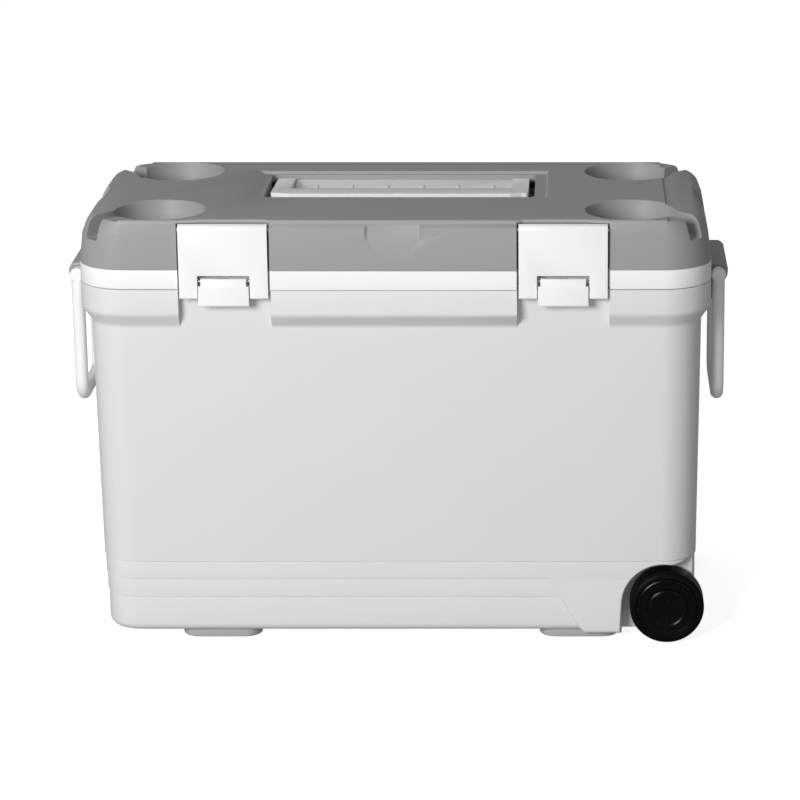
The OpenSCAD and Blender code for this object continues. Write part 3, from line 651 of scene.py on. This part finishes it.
def ring(name, r_in, r_out, low, high, ends=0.3):
    """A frame between two outlines of the common core, with small rounded edges."""
    corners = [(r_in, (low + high) / 2, 0), (r_in, low, ends), (r_out, low, ends), (r_out, high, ends),
               (r_in, high, ends),
               (r_in, (low + high) / 2, 0)]
    rows = rounded(corners, 3)[:-1]
    base, normal, _ = columns(CORE_X, CORE_Y, (-120, 0, 120), 20)
    grid = np.concatenate([base[None] + rows[:, None, :1] * normal[None],
                           np.broadcast_to(rows[:, None, 1:], (len(rows), len(base), 1))], -1)
    return tube(name, grid, "joined")


gasket_low, gasket_high = box_mm("lid_gasket")
tools = [ring("seal groove", 25.9, 32.1, LID_Z - 3, gasket_high[2] + 0.05)]
for sx in (-1, 1):
    tools.append(block("notch", (sx * LATCH_X - NOTCH_HALF, -170, LID_Z - 5),
                       (sx * LATCH_X + NOTCH_HALF, -NOTCH_Y, BAND_TOP + 5)))
    side = hinge_high[0] if sx > 0 else hinge_low[0]
    tools.append(block("knuckle room", (side - (30.4 if sx > 0 else 0.4), 137.6, 370),
                       (side + (0.4 if sx > 0 else 30.4), 160, 380.2)))
carve(band, tools)
settle(band, "lid", MATERIALS["white_plastic"], ["lid_liner"], 30)

seal = ring("lid_seal", 26, 32, gasket_low[2], gasket_high[2] - 0.05, 0.9)
settle(seal, "lid", MATERIALS["seal_rubber"], ["lid_gasket"], 40)

# %% [markdown]
# ## The grey lid cover
# Along the front the cover rises straight, turns in over a soft shoulder, and ends in a narrow ledge with a
# low bead above it. Beside the latches it keeps a sharper edge, and round the ends the same rows relax into
# one wide shoulder. Blending three profiles column by column gives all of it from a single grid. Cup wells,
# drain grooves, the handle's pocket and the finger scoops are then carved with cutters that have their own
# rounded rims.

# %% Build the cover
SHELF = TOP - 1.5
CUP_X, CUP_Y = 236, 92
front_rows = rounded([(15, BAND_TOP, 0), (50, BAND_TOP, 0.8), (48.2, 437.5, 3.2), (44.6, 440.9, 0.4),
                      (44.1, 441.3, 0.4),
                      (43.7, TOP, 1.6), (30, TOP, 0), (15, TOP, 0)], 5)
side_rows = rounded([(15, BAND_TOP, 0), (50, BAND_TOP, 0.8), (49.5, 431, 8), (49.1, 437, 4), (48.7, 441.0, 3),
                     (47.6, TOP, 1.6), (30, TOP, 0), (15, TOP, 0)], 5)
end_rows = rounded([(15, BAND_TOP, 0), (50, BAND_TOP, 0.8), (46.4, 424, 12), (41.4, 437.0, 8), (37.0, 441.6, 7),
                    (30, TOP, 6), (24, TOP, 0), (15, TOP, 0)], 5)
cover = lofted("lid_cover", front_rows, end_profile=end_rows, side_profile=side_rows, proud=PROUD,
               proud_of=lambda r, z: np.clip((r - 30) / 13, 0, 1), steps=30)


def cup_cutter(sx, sy):
    """The room for a cup: a flat floor with a rounded edge, a plain wall and a rim that opens outwards."""
    rows = rounded([(0.01, 423, 0), (42.6, 423, 5), (45.6, TOP - 1.2, 1.2), (46.8, TOP + 0.4, 0),
                    (46.8, TOP + 8, 0), (0.01, TOP + 8, 0)], 6)
    return spun("cup", rows, (sx * CUP_X, sy * CUP_Y, 0), "z", 128)


def groove_cutter(sx, sy):
    """The drain groove of a cup well: a flat-floored channel along the diagonal through the lid's corner.

    Each station along it holds (distance, width as a share of the plain width, lift of the floor)."""
    half = rounded([(0, 422.0, 0), (9.4, 422.0, 3.5), (10.4, TOP - 2.0, 0.8), (12.0, TOP + 0.6, 0),
                    (12.0, TOP + 8, 0), (0, TOP + 8, 0)], 5)
    section = np.vstack([half, (half * [-1, 1])[-2:0:-1]])
    a = math.atan2(sy, sx)
    along, across = np.array([math.cos(a), math.sin(a)]), np.array([-math.sin(a), math.cos(a)])
    start = np.array([sx * CORE_X, sy * CORE_Y]) - 18 * along
    grid = []
    for s, wide, lift in ((0, 2.2, 2.5), (10, 1.9, 2.5), (20, 1.45, 2.2), (30, 1.1, 1.6), (40, 1.0, 0.8),
                          (52, 1.0, 0.0), (90, 1.0, 0.0)):
        flat = start + s * along + section[:, :1] * wide * across
        floor = section[:, 1:] + lift * np.clip((TOP - section[:, 1:]) / 20, 0, 1)
        grid.append(np.concatenate([flat, floor], 1))
    return tube("groove", np.array(grid))


def scoop_cutter(turn, reach):
    """A finger scoop under the lid's edge: a wedge that deepens upwards, with rounded sides."""
    long_side = ((-6, 412), (0.0, 419.5), (5.2, 439.6), (5.6, 441.0))
    end = ((-6, 412), (0.0, 414), (10.5, 433), (19.5, 449))
    rows = long_side if turn in (0, math.pi) else end
    x = np.concatenate([np.linspace(-28.5, -24.5, 7), np.linspace(24.5, 28.5, 7)])
    lift = 1 - np.clip((np.abs(x) - 24.5) / 4, 0, 1) ** 2.2
    grid = []
    for xi, li in zip(x, lift):
        inner = [(-reach + max(d, 0) * li + min(d, 0), z) for d, z in rows]
        loop = inner + [(-reach - 12, rows[-1][1]), (-reach - 12, rows[0][1])]
        grid.append([(xi, y, z) for y, z in loop])
    grid = np.array(grid)
    c, s = round(math.cos(turn)), round(math.sin(turn))
    spin = np.array([[c, s, 0], [-s, c, 0], [0, 0, 1]])
    return tube("scoop", grid @ spin)


pocket_x, pocket_y0, pocket_y1, pocket_z = 138.5, -23.0, 88.7, 420.0
rim = np.array([(-152, -40, TOP), (152, -40, TOP), (152, 93, TOP), (-152, 93, TOP)], float)
floor = rim + [(5.5, 2, -2.4), (-2.2, 2, -2.4), (-2.2, -1.5, -3.2), (5.5, -1.5, -3.2)]
tools = [tube("field", np.array([floor, rim, rim + [0, 0, 6]])),
         lofted("pocket", rounded([(0.5, pocket_z, 0), (6, pocket_z, 2.5), (6, TOP + 6, 0),
                                   (0.5, TOP + 6, 0)], 4),
                (pocket_x - 6, (pocket_y1 - pocket_y0) / 2 - 6), ())]
move(tools[-1], lambda p: p + [0, (pocket_y0 + pocket_y1) / 2, 0])
tools += [cup_cutter(sx, sy) for sx in (-1, 1) for sy in (-1, 1)]
tools += [groove_cutter(sx, sy) for sx in (-1, 1) for sy in (-1, 1)]
for sx in (-1, 1):
    x0, x1 = sorted((sx * 271, sx * 420))
    tools.append(block("end drop", (x0, -200, SHELF), (x1, 200, TOP + 5)))
    tools.append(block("notch", (sx * LATCH_X - NOTCH_HALF, -170, BAND_TOP - 5),
                       (sx * LATCH_X + NOTCH_HALF, -NOTCH_Y, 441.9)))
tools += [scoop_cutter(0, CORE_Y + CORNER + PROUD), scoop_cutter(math.pi, CORE_Y + CORNER),
          scoop_cutter(math.pi / 2, CORE_X + CORNER), scoop_cutter(-math.pi / 2, CORE_X + CORNER)]
carve(cover, tools)
settle(cover, "lid", MATERIALS["grey_cover"], ["lid_cover"], 28)

# %% [markdown]
# ## Latches
# Each latch is a thin plate that hangs from a pin at the top edge and carries a spring tab. The plate is a
# side outline carried along the width, with a slot cut for the tab. A bevel then rounds every edge alike,
# which is how a moulded part gets its soft look.

# %% Build the latches
for side, sx in (("left", -1), ("right", 1)):
    low, high = box_mm("latch_plate_" + side)
    front = low[1]
    outline = rounded([(front + 0.5, low[2], 0.6), (front, low[2] + 1, 1), (front, 436.5, 4),
                       (front + 1.8, 440.0, 3), (front + 5.2, 441.3, 2),
                       (-139.2, 441.4, 2), (-135.4, 438.5, 3), (-134.4, 434, 2), (-136.5, 430, 2),
                       (-140.5, 429.4, 2), (front + 3.5, 426.5, 1.5),
                       (front + 3.5, low[2], 0.6), (front + 0.5, low[2], 0)], 4)[:-1]
    plate = prism("latch_plate_" + side, outline, low[0] + 1, high[0] - 1)
    parts = []
    for t in (-1, 1):
        edge = sx * LATCH_X + t * (LATCH_HALF - 1)
        x0, x1 = sorted((edge, edge - t * 2.5))
        parts.append(prism("flange", [(front + 1, low[2] + 6), (-136.2, low[2] + 8), (-136.2, 434),
                                      (front + 1, 434)], x0, x1))
        a = sx * LATCH_X + t * 26
        x0, x1 = sorted((a, a + t * 4))
        parts.append(block("rail", (x0, front + 1, low[2] + 2), (x1, -139, 394)))
    carve(plate, parts, "UNION")
    slot = block("slot", (sx * LATCH_X - 26, front - 5, low[2] - 5), (sx * LATCH_X + 26, -130, 390))
    carve(plate, [slot])
    soften(plate, 0.9, 3, 40)
    settle(plate, "latch_" + side, MATERIALS["white_plastic"], ["latch_plate_" + side], 35)

    low, high = box_mm("release_tab_" + side)
    face = low[1]
    outline = rounded([(face + 3, low[2], 0.5), (face + 0.6, low[2], 0.9), (face, low[2] + 1.5, 1.5),
                       (face, 378, 4), (face + 0.6, 386.6, 1.2), (face + 3, 387.4, 0.8),
                       (face + 3, 380, 0.5), (face + 3, low[2], 0)], 4)
    tab = prism("release_tab_" + side, outline[:-1], low[0], high[0])
    parts = [spun("knuckle", [(2.9, -22.5), (2.9, 22.5)], (sx * LATCH_X, -142.6, 384), "x", 32),
             block("hook", (sx * LATCH_X - 18, face + 1, low[2] + 2), (sx * LATCH_X + 18, -140.45, low[2] + 5))]
    carve(tab, parts, "UNION")
    cuts = [block("spring room", (sx * LATCH_X - 5.5, face + 3, 375), (sx * LATCH_X + 5.5, -130, 395))]
    for t in (-1, 1):
        x0, x1 = sorted((sx * LATCH_X + t * 22.5, sx * LATCH_X + t * 40))
        cuts.append(block("shoulder", (x0, face - 5, 379.4), (x1, -130, 395)))
    carve(tab, cuts)
    soften(tab, 0.8, 3, 40)
    settle(tab, "tab_" + side, MATERIALS["white_plastic"], ["release_tab_" + side], 35)

# %% [markdown]
# ## End fittings
# A hood is a small visor screwed to the collar. It is thin, so its outline is drawn once and carried along y,
# with a cheek at each end that holds the bail's stubs. The bail is one round bar bent twice.

# %% Build the hoods and bails
for side, sx in (("left", -1), ("right", 1)):
    low, high = box_mm("handle_hood_" + side)
    half, top, reach = high[1], high[2], max(abs(low[0]), abs(high[0]))
    wall = LID_HALF_X
    skin = rounded([(wall, 343, 0), (wall + 3, 343, 0.8), (wall + 3, top - 3, 2), (329, top - 3, 4),
                    (333.2, 374, 3),
                    (331.7, 364.6, 2), (333.4, 363, 0.5), (reach - 0.7, 367.5, 4), (reach + 0.25, 376, 6),
                    (330.5, top + 0.05, 6), (wall + 0.5, top, 0.8), (wall + 0.5, 374, 0.2), (wall, 374, 0.2),
                    (wall, 343, 0)], 5)[:-1]
    cheek = rounded([(wall + 2, 349, 0), (323, 354, 4), (331.6, 361.5, 3), (334, 368, 4), (334.4, 374, 4),
                     (329, top - 1.4, 4), (wall + 2, top - 1.5, 0), (wall + 2, 349, 0)], 4)[:-1]
    hood = prism("handle_hood_" + side, skin * [sx, 1], -half, half, "y")
    parts = [prism("cheek", cheek * [sx, 1], *sorted((t * 44, t * (half - 0.6))), "y") for t in (-1, 1)]
    carve(hood, parts, "UNION")
    cuts = [spun("stub way", [(4.05, -80), (4.05, 80)], (sx * 326, 0, 370), "y", 32)]
    cuts += [spun("screw way", [(2.0, -6), (2.0, 6)], (sx * wall, t * 25, 357), "x", 24) for t in (-1, 1)]
    carve(hood, cuts)
    soften(hood, 0.5, 2, 50)
    settle(hood, "body", MATERIALS["grey_cover"], ["handle_hood_" + side], 35)

    low, high = box_mm("end_bail_" + side)
    bar, arm_y, low_z, pivot_z = 6.5, 57.5, low[2] + 6.5, 370.0
    turn = 18.0
    a = np.linspace(0, np.pi / 2, 13)
    corner = np.stack([arm_y - turn + turn * np.cos(a), low_z + turn - turn * np.sin(a)], -1)
    path = np.vstack([[(arm_y, pivot_z)], [(arm_y, low_z + turn + 25)], corner, [(0, low_z)],
                      (corner * [-1, 1])[::-1],
                      [(-arm_y, low_z + turn + 25)], [(-arm_y, pivot_z)]])
    bail = swept("end_bail_" + side, np.stack([np.full(len(path), sx * 326.0), path[:, 0], path[:, 1]], -1),
                 bar, 28)
    eye = rounded([(0.01, -6.4, 0), (bar + 0.9, -6.4, 2.2), (bar + 0.9, 6.4, 2.2), (0.01, 6.4, 0)], 5)
    parts = [spun("eye", eye, (sx * 326, t * arm_y, pivot_z), "y", 40) for t in (-1, 1)]
    parts += [spun("stub", [(3.9, -6.9), (4, -6.4), (4, 2)] if t > 0 else [(4, -2), (4, 6.4), (3.9, 6.9)],
                   (sx * 326, t * 51, pivot_z), "y", 32) for t in (-1, 1)]
    carve(bail, parts, "UNION")
    settle(bail, "bail_" + side, MATERIALS["white_plastic"], ["end_bail_" + side], 35)

# %% [markdown]
# ## The folding carry handle and its tray
# Both lie in the pocket of the lid. The handle is two arms and a wide grip; the tray behind it slopes up so
# that fingers can reach under the grip.

# %% Build the handle and the tray
low, high = box_mm("carry_handle")
half = high[0]
tilt = math.radians(3.3)


def tilted(points):
    """From the handle's own flat frame into the lid: turned by its tilt about the pivot and moved there."""
    points = np.asarray(points, float)
    y, z = points[..., 1], points[..., 2]
    return np.stack([points[..., 0], 80 + y * math.cos(tilt) + z * math.sin(tilt),
                     433.3 - y * math.sin(tilt) + z * math.cos(tilt)], -1)


front, back = -98.0, -63.0
plan = rounded([(-half, back - 10, 0), (-half, front + 5, 4), (-half + 7, front + 5, 2),
                (-half + 18, front, 6), (half - 18, front, 6), (half - 7, front + 5, 2),
                (half, front + 5, 4), (half, -1, 0), (half - 18, -1, 0), (half - 18, back, 4),
                (-half + 18, back, 4), (-half + 18, -1, 0), (-half, -1, 0),
                (-half, back - 10, 0)], 5)[:-1]
area = np.sum(plan[:, 0] * np.roll(plan[:, 1], -1) - np.roll(plan[:, 0], -1) * plan[:, 1])
plan = plan if area > 0 else plan[::-1]
grid = np.stack([np.concatenate([plan, np.full((len(plan), 1), z)], 1) for z in (-6, 6)])
handle = tube("carry_handle", grid)
parts = [spun("eye", [(6.4, 0), (6.4, 18)], (half - 18 if t > 0 else -half, 0, 0), "x", 48) for t in (-1, 1)]
carve(handle, parts, "UNION")
soften(handle, 2.4, 4, 40)
carve(handle, [spun("pin way", [(3.05, -200), (3.05, 200)], (0, 0, 0), "x", 32)])
move(handle, tilted)
settle(handle, "top_handle", MATERIALS["handle_plastic"], ["carry_handle"], 35)

low, high = box_mm("handle_tray")
tray_x = high[0]
outline = rounded([(low[1], low[2], 0), (high[1], low[2], 0), (high[1], 437, 0.8), (17.6, 424, 2),
                   (16.5, 422.5, 1), (low[1], 422.5, 0.5), (low[1], low[2], 0)], 4)[:-1]
tray = prism("handle_tray", outline, -tray_x, tray_x)
slope = math.atan2(13, high[1] - 17.6)
ribs = []

def on_floor(p):
    """Lay a rib on the sloping floor: turn it by the floor's slope and lift it to the floor's height."""
    run, rise = math.cos(slope), math.sin(slope)
    start = 424 + 13 * (60 - 17.6) / (high[1] - 17.6)
    return np.stack([p[:, 0], 60 + p[:, 1] * run - p[:, 2] * rise, start + p[:, 1] * rise + p[:, 2] * run], -1)


for i in range(6):
    x0 = -92 + i * 37
    rib = block("rib", (x0, 0, -1), (x0 + 2.4, 12, 1.0))
    ribs.append(move(rib, on_floor))
carve(tray, ribs, "UNION")
soften(tray, 0.5, 2, 40)
settle(tray, "lid", MATERIALS["handle_plastic"], ["handle_tray"], 35)

# %% [markdown]
# ## Wheels
# A wheel is turned on a lathe: core, hub cap and tyre are profiles spun round the axle.

# %% Build the wheels
for end, sy in (("front", -1), ("rear", 1)):
    hub = (WHEEL[0], sy * (WELL_Y + 3.5), WHEEL[2])
    tyre = rounded([(31, 4.8, 0), (31, 0.4, 0.4), (34.2, 0, 1.2), (38, 0.6, 3), (38, 25.6, 4),
                    (35.4, 27.6, 3), (31.8, 28.0, 0.6), (31, 27.2, 0.2), (31, 4.8, 0)], 5)[:-1]

    def turned(name, rows, joined=False, sides=128):
        """A spun profile of (radius, distance outwards from the wheel's inner face)."""
        rows = np.asarray(rows, float)
        a = np.linspace(0, 2 * np.pi, sides, endpoint=False)
        grid = np.stack([hub[0] + rows[:, :1] * np.cos(a),
                         np.broadcast_to(hub[1] + sy * rows[:, 1:], (len(rows), sides)),
                         hub[2] - sy * rows[:, :1] * np.sin(a)], -1)
        return tube(name, grid, "joined" if joined else "flat")

    made = turned("wheel_tyre_" + end, tyre, True)
    settle(made, "wheel_" + end, MATERIALS["tyre_rubber"], ["wheel_tyre_" + end], 35)
    core = rounded([(5.05, 0.5, 0), (5.05, 0, 0.3), (30.4, 0, 0.5), (30.95, 0.6, 0.3), (30.95, 28.4, 0.3),
                    (29.5, 29.1, 0.3), (28.4, 29.1, 0.3), (28.0, 28.4, 0.3), (22, 28.2, 0.5), (19, 28.0, 0.5),
                    (12.05, 28.0, 0.3), (12.05, 21, 0.4), (5.05, 21, 0.2), (5.05, 0.5, 0)], 4)[:-1]
    made = turned("wheel_core_" + end, core, True)
    settle(made, "wheel_" + end, MATERIALS["black_plastic"], ["wheel_core_" + end], 35)
    cap = rounded([(10.5, 24, 0), (12.0, 24, 0.2), (12.0, 28.2, 0.3), (20.3, 28.2, 0.3), (20.3, 30.5, 0.2),
                   (18.8, 31.3, 0.3), (18.2, 31.3, 0.3), (16.8, 30.5, 0.4), (0.01, 30.5, 0)], 4)
    cap = np.vstack([[(0.01, 28.9), (10.5, 28.9)], cap])
    made = turned("wheel_cap_" + end, cap, False, 96)
    settle(made, "wheel_" + end, MATERIALS["black_plastic"], ["wheel_cap_" + end], 35)

# %% [markdown]
# ## Feet, hinges and drain
# Small parts get the same care: a pad with a soft edge, hinge leaves with rounded corners and a plug with
# grip lobes.

# %% Build the small parts
for sx, nx in ((-1, "left"), (1, "right")):
    for sy, ny in ((-1, "front"), (1, "rear")):
        rows = rounded([(8, 0, 0), (0, 0, 1.8), (0, BOTTOM_Z, 0.2), (8, BOTTOM_Z, 0)], 4)
        foot = foot_loft(f"foot_{ny}_{nx}", sx, sy, rows)
        settle(foot, "body", MATERIALS["foot_plastic"], [f"foot_{ny}_{nx}"], 35)

for side, sx in (("left", -1), ("right", 1)):
    low, high = box_mm("hinge_leaf_body_" + side)
    mid = (low[0] + high[0]) / 2
    leaf = block("hinge_leaf_body_" + side, (low[0], 142, low[2]), (high[0], 145, 369.4))
    parts = []
    for t in (-1, 1):
        x0, x1 = sorted((mid + t * 6, mid + t * 15))
        parts.append(block("lug", (x0, 142, 360), (x1, 145, 374.8)))
        parts.append(spun("knuckle", [(5, x0 - mid), (5, x1 - mid)], (mid, 143, 374.8), "x", 40))
    carve(leaf, parts, "UNION")
    cuts = [spun("pin way", [(2, -50), (2, 50)], (mid, 143, 374.8), "x", 24)]
    cuts += [spun("screw way", [(1.6, -6), (1.6, 6)], (mid + t * 10, 142, 360), "y", 20) for t in (-1, 1)]
    soften(leaf, 0.5, 2, 50)
    carve(leaf, cuts)
    settle(leaf, "body", MATERIALS["white_plastic"], ["hinge_leaf_body_" + side], 35)
    leaf = block("hinge_leaf_lid_" + side, (low[0], 142, 380.2), (high[0], 145, 393))
    parts = [block("lug", (mid - 5.4, 142, 374.8), (mid + 5.4, 145, 390)),
             spun("knuckle", [(5, -5.4), (5, 5.4)], (mid, 143, 374.8), "x", 40)]
    carve(leaf, parts, "UNION")
    soften(leaf, 0.5, 2, 50)
    cuts = [spun("pin way", [(2.05, -50), (2.05, 50)], (mid, 143, 374.8), "x", 24)]
    cuts += [spun("screw way", [(1.6, -6), (1.6, 6)], (mid + t * 10, 142, 387), "y", 20) for t in (-1, 1)]
    carve(leaf, cuts)
    settle(leaf, "lid", MATERIALS["white_plastic"], ["hinge_leaf_lid_" + side], 35)

low, high = box_mm("drain_plug")
plug = rounded([(0.01, 10, 0), (15, 10, 1.2), (15, 4.7, 0.8), (7.5, 4.7, 0.3), (7.5, -12, 1.0),
                (0.01, -12, 0)], 4)
plug = spun("drain_plug", plug[::-1], (DRAIN_X, 0, DRAIN_Z), "x", 64, -1)
grips = [block("grip", (DRAIN_X - 14, t * 9 - 5, DRAIN_Z - 20),
               (DRAIN_X - 7.2, t * 9 + 5, DRAIN_Z + 20)) for t in (-1, 1)]
carve(plug, grips)
soften(plug, 0.5, 2, 50)
settle(plug, "drain_stopper", MATERIALS["white_plastic"], ["drain_plug"], 35)
print("small parts done")

pins = [spun("latch_pins", [(1.5, -45.6), (2, -45.1), (2, 45.1), (1.5, 45.6)], (t * LATCH_X, -140, 435.5),
             "x", 24) for t in (-1, 1)]
carve(pins[0], pins[1:], "UNION")
settle(pins[0], "lid", MATERIALS["steel"], ["latch_pins"], 35)

# %% [markdown]
# ## Pieces kept from the frame
# Screws, pins, springs and the inner pieces are plain in real life too, so the CAD mesh itself is shown and
# only gets its material.

# %% Dress the kept CAD nodes
for label, kept in frame["nodes"].items():
    finish = MATERIALS[SLOT_OF[label]]
    if len(kept.material_slots) == 0:
        kept.data.materials.append(finish)
    for place in kept.material_slots:
        place.material = finish
print("kept nodes dressed")

# %% [markdown]
# ## Floor, light and camera
# A pale flat table, a large soft key from the front left, weak lights in front and above, and an even sky.
# The lid's top then comes out darker than its front, because most of the light comes in low.

# %% Stage
floor_material = bpy.data.materials.new("Pale table")
floor_material.use_nodes = True
base = floor_material.node_tree.nodes["Principled BSDF"]
base.inputs["Base Color"].default_value = (0.75, 0.75, 0.75, 1)
base.inputs["Roughness"].default_value = 0.8
base.inputs["Emission Color"].default_value = (1, 1, 1, 1)
base.inputs["Emission Strength"].default_value = 0.78
table = mesh_object("floor", [(-9000, -5000, 0), (9000, -5000, 0), (9000, 14000, 0), (-9000, 14000, 0)],
                    [(0, 1, 2, 3)])
table.data.materials.append(floor_material)
table.visible_diffuse = False
table.visible_glossy = False
table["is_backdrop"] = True


def area_light(name, place, target, size, power, colour=(1, 1, 1)):
    """A square soft light at place, turned so that it shines on target; sizes in metres."""
    lamp = bpy.data.lights.new(name, "AREA")
    lamp.shape, lamp.size, lamp.size_y = "RECTANGLE", size[0], size[1]
    lamp.energy, lamp.color = power, colour
    made = bpy.data.objects.new(name, lamp)
    made.location = place
    made.rotation_euler = (Vector(target) - Vector(place)).to_track_quat("-Z", "Y").to_euler()
    bpy.context.scene.collection.objects.link(made)
    return made


area_light("key", (-1.75, -3.3, 1.6), (0, 0, 0.25), (1.5, 1.3), 124)
area_light("fill", (1.9, -2.6, 1.3), (0, 0, 0.25), (1.4, 1.4), 3)
area_light("bounce", (0, -2.3, 0.05), (0, 0, 0.4), (3.0, 0.6), 5)
area_light("top", (-0.5, 0.6, 2.6), (0, 0, 0.3), (2.0, 1.6), 5.5)
world = bpy.data.worlds.new("Even sky")
bpy.context.scene.world = world
world.use_nodes = True
world.node_tree.nodes["Background"].inputs["Color"].default_value = (1, 1, 1, 1)
world.node_tree.nodes["Background"].inputs["Strength"].default_value = 0.24

lens = bpy.data.cameras.new("camera")
lens.lens, lens.sensor_width = 145.0, 36.0
lens.shift_x = -0.2176
eye = bpy.data.objects.new("camera", lens)
eye.location = (0.179, -3.242, 1.156)
eye.rotation_euler = (math.radians(90 - 16.1), 0, 0)
bpy.context.scene.collection.objects.link(eye)
bpy.context.scene.camera = eye
bpy.context.scene.view_settings.view_transform = "Standard"

# %% Size and finish
low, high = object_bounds()
print("visual", [round(v, 4) for v in low], [round(v, 4) for v in high])
